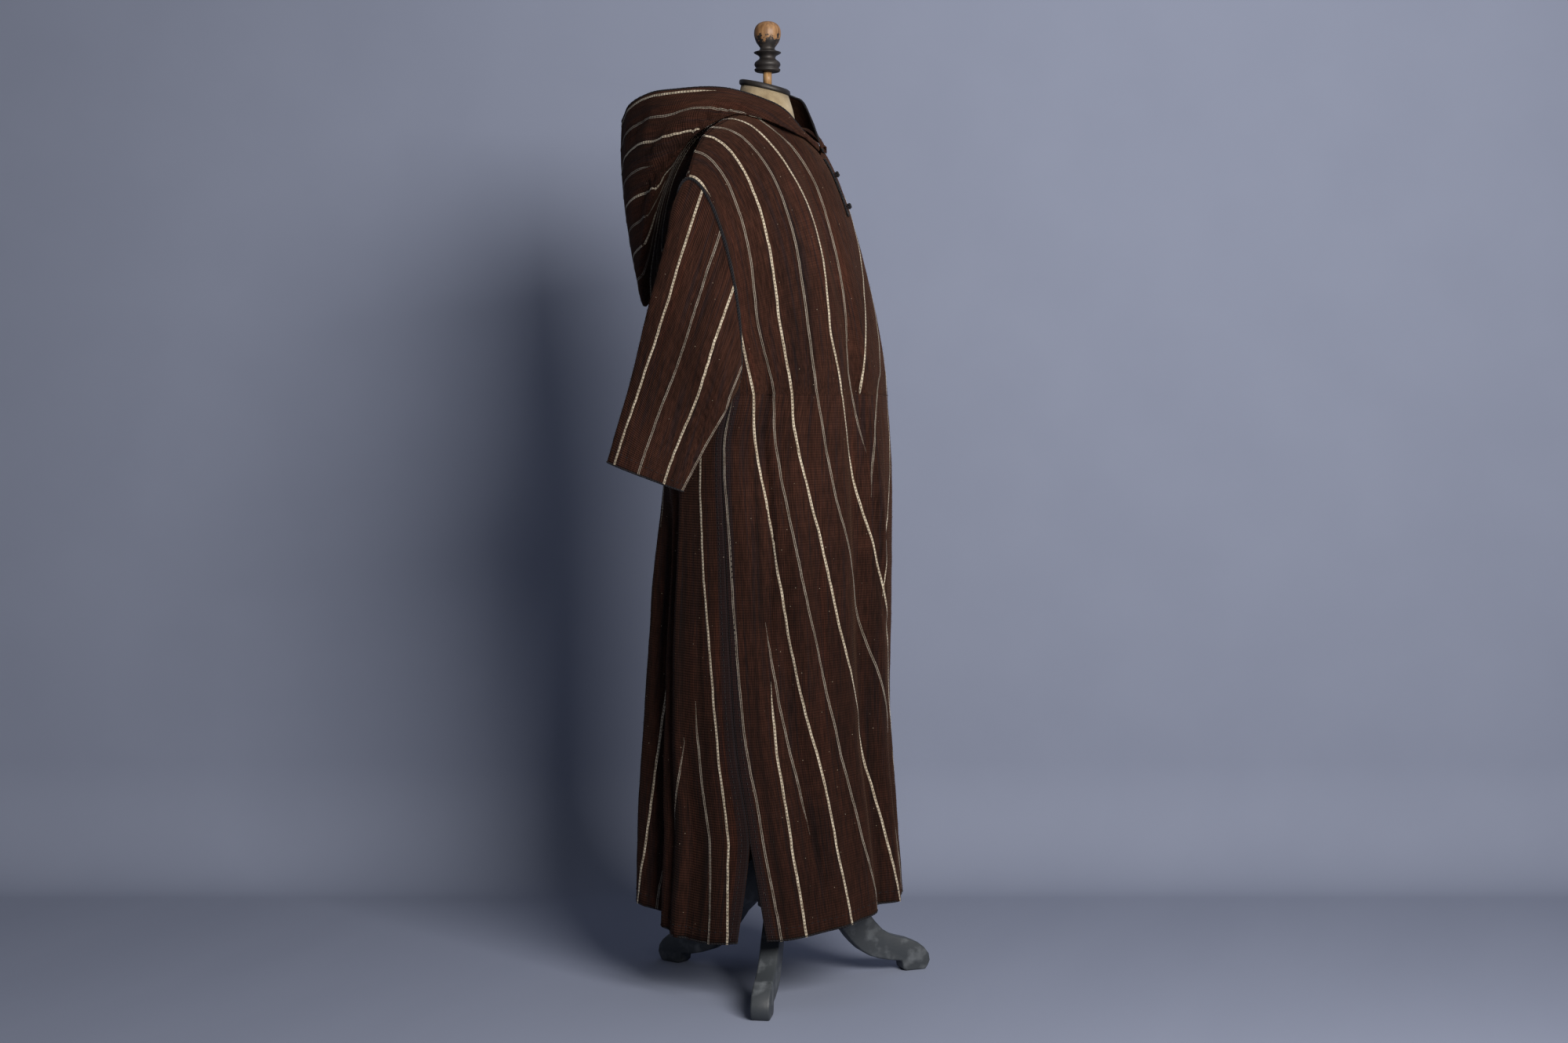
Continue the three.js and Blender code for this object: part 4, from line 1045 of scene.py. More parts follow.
BACK_STRIPES = table(
    "beaded start end path",
    (True, 0.0, 1.3, ((0, -0.953), (0.16, -0.91), (0.4, -0.905), (0.55, -0.883), (0.71, -0.85),
                      (0.9, -0.838), (1.3, -0.93))),
    (False, 0.0, 0.44, ((0, -0.86), (0.2, -0.813), (0.41, -0.79))),
    (False, 0.9, 2.0, ((0.9, -0.71), (1.4, -0.76), (2.0, -0.86))),
    (False, 0.0, 0.12, ((0, -0.42), (0.06, -0.43), (0.12, -0.45))),
    (False, 0.19, 0.37, ((0.18, -0.6), (0.26, -0.655), (0.36, -0.71))),
    (True, 0.9, 2.0, ((0.9, -0.58), (1.4, -0.62), (2.0, -0.73))),
    (True, 0.0, 0.72, ((0, -0.345), (0.14, -0.379), (0.42, -0.409), (0.7, -0.44))),
    (False, 0.8, 2.0, ((0.8, -0.46), (1.4, -0.49), (2.0, -0.643))),
    (True, 0.74, 2.0, ((0.7, -0.34), (1.4, -0.37), (2.0, -0.58))),
    (False, 0.0, 2.0, ((0, -0.2), (0.28, -0.25), (0.44, -0.29), (0.69, -0.24), (1.0, -0.21),
                       (1.4, -0.23), (2.0, -0.48))),
    (True, 0.0, 2.0, ((0, -0.08), (0.4, -0.13), (0.9, -0.09), (1.5, -0.11), (2.0, -0.36))),
    (False, 0.0, 1.95, ((0, 0.03), (0.5, 0.0), (1.0, 0.02), (1.95, 0.02))),
    (True, 0.0, 2.0, ((0, 0.16), (0.9, 0.13), (1.5, 0.14), (2.0, 0.36))),
    (False, 0.0, 2.0, ((0, 0.29), (0.9, 0.26), (1.5, 0.28), (2.0, 0.48))),
    (True, 0.0, 2.0, ((0, 0.42), (0.9, 0.39), (1.5, 0.41), (2.0, 0.58))),
    (False, 0.0, 2.0, ((0, 0.56), (0.9, 0.52), (1.5, 0.54), (2.0, 0.643))),
    (True, 0.0, 2.0, ((0, 0.7), (0.9, 0.65), (1.4, 0.67), (2.0, 0.73))),
    (False, 0.0, 2.0, ((0, 0.83), (0.9, 0.78), (1.4, 0.8), (2.0, 0.86))),
    (True, 0.0, 1.3, ((0, 0.95), (0.9, 0.9), (1.3, 0.93))),
)
# Stripe distances below the over-arm edge at the armhole and at the cuff, in millimetres.
SLEEVE_STRIPES = table(
    "beaded head cuff",
    (True, 30, 18), (False, 80, 65), (True, 128, 113), (False, 176, 150),
)
SLEEVE_BACK_STRIPES = table(
    "beaded head cuff",
    (False, 18, 30), (True, 66, 76), (False, 114, 120), (True, 162, 150),
)
HOOD_FIRST_STRIPE_MM = 9.0
HOOD_STRIPE_PITCH_MM = 44.0
HOOD_STRIPES = 11
# Rows from the crown at which a hood stripe sinks into the folds: most, and the longer ones.
HOOD_STRIPE_REACH = 28
HOOD_LONG_REACHES = {0: 42, 1: 99, 2: 99, 4: 99}
STRIPE_LIFT_MM = 0.35
PAIR_HALF_WIDTH_MM = 0.6
PAIR_OFFSET_MM = 1.3


class StripeSet:
    """Collects the stripes of one cloth piece and builds them as two raised meshes."""

    def __init__(self, sheet):
        self.sheet = sheet
        self.beaded = new_builder()
        self.paired = new_builder()

    def lay(self, path, beaded, taper=(False, False)):
        """Lays one stripe along sheet places; taper says which ends sink into a fold."""
        if len(path) < 3:
            return
        sizes = bpy.context.scene.robe_sizes
        lift = 500 * sizes.cloth_thickness + STRIPE_LIFT_MM
        if beaded:
            ribbon(self.beaded, path, self.sheet, 500 * sizes.beaded_width, lift, 0.0, taper)
            return
        for side in (-1, 1):
            ribbon(self.paired, path, self.sheet, PAIR_HALF_WIDTH_MM, lift,
                   PAIR_OFFSET_MM * side, taper)

    def finish(self, name, slot, parent):
        """Builds the chained and the paired stripes as two meshes of the parent."""
        colours = bpy.context.scene.robe_colours
        bead = finish_of("cream_cotton_chained", cream_stripe, colours.cream, True)
        line = finish_of("grey_cotton_paired", cream_stripe, colours.grey, False)
        for key, builder, material in (
            ("beaded", self.beaded, bead), ("paired", self.paired, line),
        ):
            if builder["faces"]:
                own(build(f"{name}_{key}_stripes", builder, material), slot, parent=parent)


# ---- cloth pieces --------------------------------------------------------------------
# Mean distance between the rows of each grid, in metres, for the weave's own coordinates.
PANEL_ROW_PITCH = 0.0137
SLEEVE_ROW_PITCH = 0.0075
HOOD_ROW_PITCH = 0.0062
# The blue-black warp at a panel's side starts this far from its middle, in metres.
SELVEDGE_START = 0.323
# Slit stitches run 12 mm in on a panel 700 mm wide; hem stitches on this row of the grid.
SLIT_STITCH_INSET = 12 / 700
PANEL_HEM_ROW = 1.5
CUFF_HEM_MM, SLEEVE_LENGTH_MM = 25, 520

# Each pressed crease throws up a lower ridge this many columns beside it.
CREASE_RIDGE_COLUMNS, CREASE_RIDGE_SHARE = 2.6, 0.6
# Long creases pressed into the front, as (row, column) places, depth and half width in mm.
FRONT_CREASE_LINES = (
    (((97, 17), (90, 13), (82, 13.5), (72, 12.7), (62, 13), (55, 15), (47, 15.5), (38, 13.8),
      (30, 14), (20, 14.5)), -5.5, 8),
    (((86, 47.5), (66, 49.5), (57, 52.5), (43, 56), (32, 62)), -7.0, 10),
    (((24, 15), (13.5, 21), (5, 23)), -3.0, 9),
    (((60, 34), (44, 30), (26, 36)), -2.5, 14),
)


def panel_surface(side):
    """The front (side -1) or back panel as a fine sheet with soft wrinkles."""
    key = "front" if side < 0 else "back"
    rows = []
    for step in range(SKIRT_STEPS + YOKE_STEPS + 1):
        line = []
        for column in range(PANEL_STEPS + 1):
            share = side * (1 - 2 * column / PANEL_STEPS)
            if step <= SKIRT_STEPS:
                hem = row_at(HEM_LINE, "share", abs(share))[key]
                height = mix(hem, UNDERARM_HEIGHT, step / SKIRT_STEPS)
                line.append(ring_point(side, share, height))
            else:
                line.append(yoke_point(side, share, (step - SKIRT_STEPS) / YOKE_STEPS))
        rows.append(line)
    sheet = Sheet(rows)

    def keep(i, j):
        edge = min(j, PANEL_STEPS - j) / PANEL_STEPS
        high = ease(SKIRT_STEPS, SKIRT_STEPS + 20, i)
        return ease(0.0, 0.05, edge) * mix(1.0, 0.55, high) * ease(0, 6, SKIRT_STEPS + YOKE_STEPS - i)

    sheet.ruffle(bpy.context.scene.robe_sizes.wrinkle * 1000, 3.0 + side, keep)
    if side < 0:
        for places, depth, width in FRONT_CREASE_LINES:
            sheet.crease(places, depth, width)
            beside = [(i, j + CREASE_RIDGE_COLUMNS) for i, j in places]
            sheet.crease(beside, -CREASE_RIDGE_SHARE * depth, width)
    return sheet


def panel_place(side, share, row):
    """Turns a share and a row (0 hem, 1 underarm, 2 shoulder) into a place on the sheet."""
    column = (1 - side * share) * PANEL_STEPS / 2
    if row <= 1:
        return row * SKIRT_STEPS, column
    return SKIRT_STEPS + (row - 1) * YOKE_STEPS, column


def elevation(row):
    """A row counted as cloth length, so that stripes bend evenly past the underarm."""
    if row <= 1:
        return row
    if row < 1.5:
        return 1.2 - 0.2 * math.cos(math.pi * (row - 1))
    return 1.2 + 0.628 * (row - 1.5)


def panel_path(side, path, start, end):
    """The places of a stripe on a panel's sheet between two rows."""
    rows = [{"up": elevation(row), "share": share} for row, share in path]
    count = max(6, int((end - start) * 110))
    places = []
    for n in range(count + 1):
        row = mix(start, end, n / count)
        share = row_at(rows, "up", elevation(row))["share"]
        places.append(panel_place(side, max(-0.995, min(0.995, share)), row))
    return places


def build_panel(side):
    """One body panel with its stripes, nap and seam."""
    sizes = bpy.context.scene.robe_sizes
    name = "front" if side < 0 else "back"
    slot = f"{name}_cloth"
    sheet = panel_surface(side)
    wool = finish_of(f"hand_woven_wool_{name}", hand_woven_wool, 4.0 * side, SELVEDGE_START)

    def uv_at(i, j):
        share = side * (1 - 2 * j / PANEL_STEPS)
        return share * PANEL_HALF_WIDTH / 1000, i * PANEL_ROW_PITCH

    uvs = [[uv_at(i, j) for j in range(sheet.width)] for i in range(sheet.height)]
    robe = own(sheet_mesh(f"robe_{name}", sheet, uvs, wool), slot, name)
    stripes = StripeSet(sheet)
    for row in FRONT_STRIPES if side < 0 else BACK_STRIPES:
        taper = (row["start"] > 0, row["end"] < 1.9)
        stripes.lay(panel_path(side, row["path"], row["start"], row["end"]), row["beaded"], taper)
    stripes.finish(name, slot, robe)
    own(nap(f"{name}_nap", sheet, sizes.nap_count, 1000 * sizes.nap_length, wool, 11 + side, uv_at),
        slot, parent=robe)
    trim = new_builder()
    hem = [(0.12, j) for j in range(0, PANEL_STEPS + 1, 2)]
    edge_cord(trim, sheet, hem, 1.5, squash=1.2)
    for column in (0.4, PANEL_STEPS - 0.4):
        seam = [(i, column) for i in range(0, SKIRT_STEPS + 1, 2)]
        edge_cord(trim, sheet, seam, 0.8, 0.3)
    inner = PANEL_STEPS * SLIT_STITCH_INSET
    for column in (inner, PANEL_STEPS - inner):
        down = [(i, column) for i in range(0, SKIRT_STEPS + 1)]
        stitches(trim, sheet, down, 9.0, 4.5, 0.55)
    own(build(f"{name}_seams", trim, cord_material()), slot, parent=robe)
    hem_thread = new_builder()
    hem_line = [(PANEL_HEM_ROW, j / 2) for j in range(2, 2 * PANEL_STEPS - 1)]
    stitches(hem_thread, sheet, hem_line, 11.0, 5.0, 0.5)
    own(build(f"{name}_hem_stitches", hem_thread, cord_material()), slot, parent=robe)
    sheet.flat()
    round(sheet.area(), 4)


SLEEVE_CREASE_LINES = (
    (((4, 16), (17, 21), (37, 22), (60, 20)), -3.5, 11),
    (((10, 28), (24, 33), (46, 36)), -3.0, 10),
    (((3, 24), (14, 28), (30, 28)), 2.5, 12),
    (((30, 8), (48, 9), (68, 11)), -2.2, 12),
    (((12, 66), (34, 68), (60, 64)), -3.0, 12),
)


def sleeve_surface(side):
    """A sleeve as a closed tube of rows from the armhole to the cuff, softly wrinkled."""
    rows = []
    for step in range(SLEEVE_STEPS + 1):
        line = []
        for column in range(SLEEVE_TURNS):
            turn = column * 360 / SLEEVE_TURNS
            if step == 0:
                point = armhole_point(turn)
                lap = ease(95, 150, turn) if turn <= 180 else ease(0, 40, 360 - turn)
                point.x -= 3.6 * lap + 0.5 * ease(5, 20, turn)
            else:
                point = sleeve_point(step / SLEEVE_STEPS, turn)
            if side > 0:
                point.x = -point.x
            line.append(point)
        rows.append(line)
    sheet = Sheet(rows, closed=True, flip=side < 0)
    sheet.ruffle(bpy.context.scene.robe_sizes.wrinkle * 700, 9.0 * side,
                 lambda i, j: ease(0, 8, i) * ease(0, 5, SLEEVE_STEPS - i))
    for places, depth, width in SLEEVE_CREASE_LINES:
        sheet.crease(places, depth, width)
    return sheet


ARM_FALL_Y, ARM_FALL_Z = 0.285, -0.959  # the way the over-arm edge runs, seen from the side


def edge_distance(point):
    """Distance of a sleeve point from the line of the over-arm edge, in the YZ plane."""
    out, up = point.y - ARMHOLE_TOP.y, point.z - ARMHOLE_TOP.z
    return abs(out * ARM_FALL_Z - up * ARM_FALL_Y)


def sleeve_path(sheet, row, facing):
    """A stripe along the sleeve: facing +1 runs on the outer face, -1 on the inner one."""
    places = []
    for n in range(1, 2 * SLEEVE_STEPS + 1):
        i = n / 2
        target = mix(row["head"], row["cuff"], ease(0.3, 1.0, i / SLEEVE_STEPS))
        span = SLEEVE_TURNS / 2
        found = None
        for k in range(4, int(2 * span) - 3):
            j = (k / 2 if facing > 0 else SLEEVE_TURNS - k / 2)
            if edge_distance(sheet.point(i, j)) >= target:
                found = j
                break
        if found is None:
            found = span * 0.93 if facing > 0 else SLEEVE_TURNS - span * 0.93
        j0, j1 = found - facing * 0.5, found
        d0, d1 = edge_distance(sheet.point(i, j0)), edge_distance(sheet.point(i, j1))
        t = (target - d0) / (d1 - d0) if abs(d1 - d0) > 1e-6 else 0.5
        places.append((i, mix(j0, j1, min(1.0, max(0.0, t)))))
    return places


def build_sleeve(side):
    """One sleeve with its stripes, nap, armhole seam and cuff."""
    sizes = bpy.context.scene.robe_sizes
    name = "sleeve_right" if side < 0 else "sleeve_left"
    sheet = sleeve_surface(side)
    wool = finish_of("hand_woven_wool_sleeves", hand_woven_wool, 13.0)

    def uv_at(i, j):
        facing = 1 if j % SLEEVE_TURNS <= SLEEVE_TURNS / 2 else -1
        return facing * edge_distance(sheet.point(i, j)) / 1000, i * SLEEVE_ROW_PITCH

    uvs = [[uv_at(i, j) for j in range(sheet.width)] for i in range(sheet.height)]
    robe = own(sheet_mesh(f"robe_{name}", sheet, uvs, wool), "sleeve_cloth", name)
    stripes = StripeSet(sheet)
    for facing, rows in ((1, SLEEVE_STRIPES), (-1, SLEEVE_BACK_STRIPES)):
        for row in rows:
            stripes.lay(sleeve_path(sheet, row, facing), row["beaded"])
    stripes.finish(name, "sleeve_cloth", robe)
    own(nap(f"{name}_nap", sheet, sizes.nap_count // 2, 1000 * sizes.nap_length, wool, 23 + side,
            uv_at), "sleeve_cloth", parent=robe)
    trim = new_builder()
    around = [j / 2 for j in range(2 * SLEEVE_TURNS)]
    for i, radius, lift, squash in ((0.35, 2.7, 1.0, 0.45), (SLEEVE_STEPS - 0.15, 1.7, 0.0, 1.2)):
        centres = [sheet.point(i, j) + sheet.normal(i, j) * lift for j in around]
        tube(trim, centres, radius, 8, closed=True, squash=squash,
             normals=[sheet.normal(i, j) for j in around], twist=1.2, lobes=2, lobe_depth=0.12)
    hem_row = SLEEVE_STEPS * (1 - CUFF_HEM_MM / SLEEVE_LENGTH_MM)
    stitches(trim, sheet, [(hem_row, j) for j in around], 10.0, 5.0, 0.5)
    own(build(f"{name}_trim", trim, cord_material()), "sleeve_cloth", parent=robe)
    round(sheet.area(), 4)


# The fold where the hood breaks over the shoulder, and the smaller ones beside it.
HOOD_CREASE_LINES = (
    (((14, 11), (22, 15), (27.5, 18), (33, 22), (37.5, 21.5), (44.5, 20), (53.5, 17.5),
      (58, 19)), -9.0, 11),
    (((16, 8), (24, 11.5), (33, 17), (42, 16), (52, 13)), 4.5, 12),
    (((40, 27), (47, 27), (54, 25)), -5.0, 10),
    (((50, 4), (58, 6), (64, 5)), -3.5, 12),
)


def hood_surface():
    """The hood: exact lines at the pattern's own spacing, then smoothly refined."""
    coarse = []
    for step in range(HOOD_STEPS + 1):
        turn = -0.985 + 1.97 * step / HOOD_STEPS
        coarse.append([hood_point(turn, down) for down in HOOD_LEVELS])
    rows = refine_rows(refine_rows(coarse, REFINE, False), REFINE, True)
    sheet = Sheet(rows, flip=True)
    last = sheet.width - 1
    sheet.ruffle(bpy.context.scene.robe_sizes.wrinkle * 800, 21.0,
                 lambda i, j: ease(0, 4, j) * ease(0, 0.45 * last, last - j))
    for side in (1, -1):
        middle = HOOD_STEPS * REFINE / 2
        for places, depth, width in HOOD_CREASE_LINES:
            sheet.crease([(middle + side * (i - middle), j) for i, j in places],
                         depth * (1 if side > 0 else 0.7), width)
    return sheet


def refine_rows(rows, steps, across):
    """Inserts points between a grid's points along smooth curves."""
    if across:
        turned = [list(line) for line in zip(*rows)]
        return [list(line) for line in zip(*refine_rows(turned, steps, False))]
    fine = []
    last = len(rows) - 1
    for i in range(last):
        a, b = rows[i], rows[i + 1]
        before = rows[max(0, i - 1)]
        after = rows[min(last, i + 2)]
        for n in range(steps):
            t = n / steps
            t2, t3 = t * t, t * t * t
            fine.append([
                ((-t3 + 2 * t2 - t) * p + (3 * t3 - 5 * t2 + 2) * q
                 + (-3 * t3 + 4 * t2 + t) * r + (t3 - t2) * s) / 2
                for p, q, r, s in zip(before, a, b, after)
            ])
    fine.append(list(rows[last]))
    return fine


def build_hood():
    """The hood with its stripes, nap and rim cord."""
    sizes = bpy.context.scene.robe_sizes
    sheet = hood_surface()
    wool = finish_of("hand_woven_wool_hood", hand_woven_wool, 31.0)
    lengths = []
    for line in sheet.rows:
        run = [0.0]
        for a, b in zip(line, line[1:]):
            run.append(run[-1] + (b - a).length)
        lengths.append(run)

    def uv_at(i, j):
        run = lengths[int(i)]
        return run[min(int(j), len(run) - 1)] / 1000, i * HOOD_ROW_PITCH

    uvs = [[uv_at(i, j) for j in range(sheet.width)] for i in range(sheet.height)]
    robe = own(sheet_mesh("robe_hood", sheet, uvs, wool), "hood_cloth", "hood")
    stripes = StripeSet(sheet)
    for n in range(HOOD_STRIPES):
        target = HOOD_FIRST_STRIPE_MM + n * HOOD_STRIPE_PITCH_MM
        path = []
        reach = HOOD_LONG_REACHES.get(n, HOOD_STRIPE_REACH)
        for i, run in enumerate(lengths):
            if run[-1] - 6 < target or abs(i - sheet.height / 2) > reach:
                stripes.lay(path, n % 2 == 0, (True, True))
                path = []
                continue
            j = next(k for k in range(1, len(run)) if run[k] >= target)
            path.append((i, j - 1 + (target - run[j - 1]) / (run[j] - run[j - 1])))
        stripes.lay(path, n % 2 == 0)
    stripes.finish("hood", "hood_cloth", robe)
    own(nap("hood_nap", sheet, sizes.nap_count // 2, 1000 * sizes.nap_length, wool, 37, uv_at),
        "hood_cloth", parent=robe)
    trim = new_builder()
    edge_cord(trim, sheet, [(i / 2, 0.1) for i in range(2 * sheet.height - 1)], 1.9, 0.0)
    own(build("hood_rim_cord", trim, cord_material()), "hood_cloth", parent=robe)
    round(sheet.area(), 4)


# ---- closure -------------------------------------------------------------------------
BRAID_LOW, BRAID_HIGH = 1364, 1466
BRAID_CORD_RADIUS = 1.75
BRAID_CORD_OFFSET = 2.2
LOOP_HEIGHTS = (1452, 1424, 1408, 1394, 1368)
KNOT_HEIGHTS = {"knot_upper": 1436, "knot_lower": 1380}
KNOT_LIFT = CLOTH_WALL / 2 + 8.8


def front_place(height):
    """The point and normal on the centre front at a height."""
    low, high = 0.0, 1.0
    for _ in range(40):
        rise = (low + high) / 2
        if yoke_point(-1, 1e-6, rise).z < height:
            low = rise
        else:
            high = rise
    point = yoke_point(-1, 1e-6, low)
    along = (point - yoke_point(-1, 1e-6, low - 0.02)).normalized()
    return point, Vector((0, -along.z, along.y))


def build_braid():
    """Two plied cords sewn side by side down the centre front, with small loops."""
    trim = new_builder()
    places = [front_place(mix(BRAID_LOW, BRAID_HIGH, n / 60)) for n in range(61)]
    for side in (-1, 1):
        offset = Vector((BRAID_CORD_OFFSET * side, 0, 0))
        centres = [p + n * (CLOTH_WALL / 2 + 1.9) + offset for p, n in places]
        tube(trim, centres, BRAID_CORD_RADIUS, 10, normals=[n for _, n in places], twist=1.1,
             lobes=2, lobe_depth=0.16)
    for height in LOOP_HEIGHTS:
        point, normal = front_place(height)
        centre = point + normal * (CLOTH_WALL / 2 + 2.4)
        loop = []
        for n in range(20):
            a = 2 * math.pi * n / 20
            loop.append(centre + Vector((5.4 * math.cos(a), 0, 0))
                        + Vector((0, normal.z, -normal.y)) * 2.2 * math.sin(a))
        tube(trim, loop, 1.1, 8, closed=True, normals=[normal] * 20, twist=1.3, lobes=2,
             lobe_depth=0.15)
    own(build("front_braid", trim, cord_material()), "cord", "braid")


def build_knot(name, height):
    """A round knot button: one cord wound through itself three times."""
    point, normal = front_place(height)
    centre = point + normal * KNOT_LIFT
    up = Vector((0, normal.z, -normal.y))
    right = Vector((1, 0, 0))
    path = []
    for n in range(120):
        t = 2 * math.pi * n / 120
        r = 3.1 + 1.15 * math.cos(5 * t)
        path.append(centre + right * r * math.cos(3 * t) + up * r * math.sin(3 * t)
                    + normal * 2.3 * math.sin(5 * t))
    trim = new_builder()
    tube(trim, path, 1.35, 8, closed=True, normals=[normal] * 120, twist=1.3, lobes=2,
         lobe_depth=0.15)
    own(build(f"{name}_button", trim, cord_material()), "cord", name)


# ---- form and stand ------------------------------------------------------------------
FORM_SIDES = 28
NECK_HALF_WIDTH, NECK_HALF_DEPTH = 43.5, 42.5
LEG_HALF_THICKNESS = 16.5
LEG_EDGE_RADIUS = 3.5


def stack_rings(name, rings, material):
    """A closed solid from rings of points, with a flat face at each end."""
    builder = new_builder()
    sides = len(rings[0])
    for ring in rings:
        for k, point in enumerate(ring):
            builder["points"].append(point)
            builder["uvs"].append((k / sides, point.z / 1000))
    for n in range(len(rings) - 1):
        for k in range(sides):
            a, b = n * sides + k, n * sides + (k + 1) % sides
            builder["faces"].append([a, b, b + sides, a + sides])
    top = (len(rings) - 1) * sides
    builder["faces"].append(list(range(sides))[::-1])
    builder["faces"].append([top + k for k in range(sides)])
    return build(name, builder, material)


def lathe(name, profile, centre, material, sides):
    """A turned solid from (radius, height, tilt) rows; tilt 1 lies along the cap's slope."""
    rings = []
    for r, z, tilt in profile:
        ring = []
        for k in range(sides):
            a = 2 * math.pi * k / sides
            y = r * math.sin(a)
            ring.append(centre + Vector((r * math.cos(a), y, z + y * CAP_SLOPE * tilt)))
        rings.append(ring)
    return stack_rings(name, rings, material)


def smooth_profile(rows, steps):
    """Points along a table of radii and heights, rounded between them."""
    lines = [[Vector((row["r"], row["z"], 0))] for row in rows]
    return [line[0] for line in refine_rows(lines, steps, False)]


def build_finial():
    """The turned finial, and the bare dowel that shows where its neck is thin."""
    paint = finish_of("worn_black_paint_on_turned_wood", worn_paint, "#1d1a19", "#8f6c49",
                      (1.688, 0.05, 0.5, 0.27), "#4a4340")
    profile = [(p.x, p.y, 0.0) for p in smooth_profile(FINIAL_PROFILE, 3)]
    profile[0] = (profile[0][0], profile[0][1] + 0.4, 1.0)
    axis = Vector((0, FINIAL_Y, 0))
    own(lathe("turned_finial", profile, axis, paint, 72), "turned_wood", "finial")
    bare = finish_of("bare_turned_dowel", worn_paint, "#3a2a1c", "#a8855c", (1.6, 1.0, 0.0, 0.9),
                     "#6e5238")
    dowel = lathe("finial_dowel", [(7.8, 1604.4, 1.0), (7.8, 1627.0, 0.0)], axis, bare, 32)
    own(dowel, "turned_wood", parent=bpy.data.objects["turned_finial"])


def build_neck_cap():
    """The thin turned disc that closes the form's neck."""
    paint = finish_of("worn_black_stain_on_cap", worn_paint, "#191615", "#7c5c3c",
                      (1.59, 0.2, 0.1, 0.27), "#3c3633")
    profile = [(row["r"], row["up"], 1.0) for row in CAP_PROFILE]
    own(lathe("neck_cap_disc", profile, CAP_MIDDLE, paint, 64), "cap_wood", "neck_cap")


def build_form():
    """The padded torso under the robe: smooth, whole and covered in linen."""
    turns = [2 * math.pi * k / FORM_SIDES for k in range(FORM_SIDES)]
    rings = []
    for row in FORM_RINGS:
        ring = []
        for a in turns:
            c, s = math.cos(a), math.sin(a)
            depth = row["half_front"] if s < 0 else row["half_back"]
            level = row["front"] if s < 0 else row["back"]
            ring.append(Vector((row["half_width"] * c, row["centre"] + depth * s,
                                mix(level, row["side"], abs(c) ** 3))))
        rings.append(ring)
    neck = []
    for a in turns:
        y = NECK_HALF_DEPTH * math.sin(a)
        neck.append(Vector((NECK_HALF_WIDTH * math.cos(a), CAP_MIDDLE.y + y,
                            CAP_MIDDLE.z + y * CAP_SLOPE)))
    rings = refine_rows([*rings, neck], 3, False)
    torso = stack_rings("linen_form", rings, finish_of("aged_plain_linen", aged_linen))
    own(torso, "linen_cover", "form")


def build_legs():
    """Three sawn board legs with rounded edges, painted grey-black and scuffed at the foot."""
    paint = finish_of("scuffed_grey_paint_on_board", worn_paint, "#33373b", "#8d6f4d",
                      (0.0, 0.6, 0.1, 0.2), "#767b80", 0)
    count = len(LEG_OUTLINE)
    for name, angle in LEG_ANGLES.items():
        a = math.radians(angle)
        along = Vector((math.cos(a), math.sin(a), 0))
        across = Vector((-math.sin(a), math.cos(a), 0)) * LEG_HALF_THICKNESS
        points = [HUB_CENTRE + along * row["r"] + across * side + Vector((0, 0, row["z"]))
                  for side in (-1, 1) for row in LEG_OUTLINE]
        faces = [list(range(count)), list(range(count, 2 * count))[::-1]]
        for k in range(count):
            m = (k + 1) % count
            faces.append([k, k + count, m + count, m])
        leg = mesh_object(f"{name}_board", points, faces, paint)
        edges = leg.modifiers.new("eased edges", "BEVEL")
        edges.width = LEG_EDGE_RADIUS / 1000
        edges.segments = 3
        edges.limit_method = "ANGLE"
        edges.angle_limit = math.radians(50)
        edges.harden_normals = False
        own(leg, "leg_paint", name)


def dress_stand():
    """The pole and hub keep their solids and take stained wood."""
    stain = finish_of("dark_stained_turned_wood", worn_paint, "#2b2420", "#7a5a3a",
                      (0.5, 1.0, 0.1, 0.15), "#4a413a")
    for name in ("pole", "hub"):
        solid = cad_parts[name]
        solid.data.materials.clear()
        solid.data.materials.append(stain)


# ---- stage ---------------------------------------------------------------------------
FOCAL_PX = 2893.0
FRAME_WIDTH_PX = 2000.0
HORIZON_RISE_PX = 126.0
CAMERA_DISTANCE = 4.05
CAMERA_HEIGHT = 1.0
VIEW_RIGHT = Vector((0.292, -0.956, 0))
VIEW_AWAY = Vector((0.956, 0.292, 0))
LIGHTS = table(
    "name power place size colour",
    ("key_softbox", "key_power", (1.36, -2.85, 2.05), (1.7, 1.3), "#fffaf4"),
    ("fill_panel", "fill_power", (-2.2, -3.6, 1.6), (2.4, 2.4), "#eef3ff"),
    ("overhead_panel", "top_power", (0.8, -0.4, 3.6), (2.6, 2.6), "#f6f8ff"),
)
WALL_BEHIND = 0.97
WALL_BEND = 0.25
FLOOR_REACH = 9.0
WALL_HEIGHT = 6.0


def stage_place(right, away, up):
    """A studio point given to the right of, behind and above the robe's axis, in metres."""
    return SHIFT / 1000 + VIEW_RIGHT * right + VIEW_AWAY * away + Vector((0, 0, up))


def build_backdrop():
    """One painted sheet: the floor, a bend and the wall."""
    canvas = finish_of("matt_painted_canvas", painted_studio, bpy.context.scene.robe_studio.canvas)
    turns = [math.pi / 2 * n / 14 for n in range(1, 15)]
    bend = [(WALL_BEHIND - WALL_BEND + WALL_BEND * math.sin(a), WALL_BEND - WALL_BEND * math.cos(a))
            for a in turns]
    steps = [(-FLOOR_REACH, 0.0), (WALL_BEHIND - WALL_BEND, 0.0), *bend, (WALL_BEHIND, WALL_HEIGHT)]
    points = [stage_place(right, away, up) * 1000 - SHIFT
              for away, up in steps for right in (-FLOOR_REACH, FLOOR_REACH)]
    faces = [[2 * n, 2 * n + 1, 2 * n + 3, 2 * n + 2] for n in range(len(steps) - 1)]
    mesh_object("studio_backdrop", points, faces, canvas)


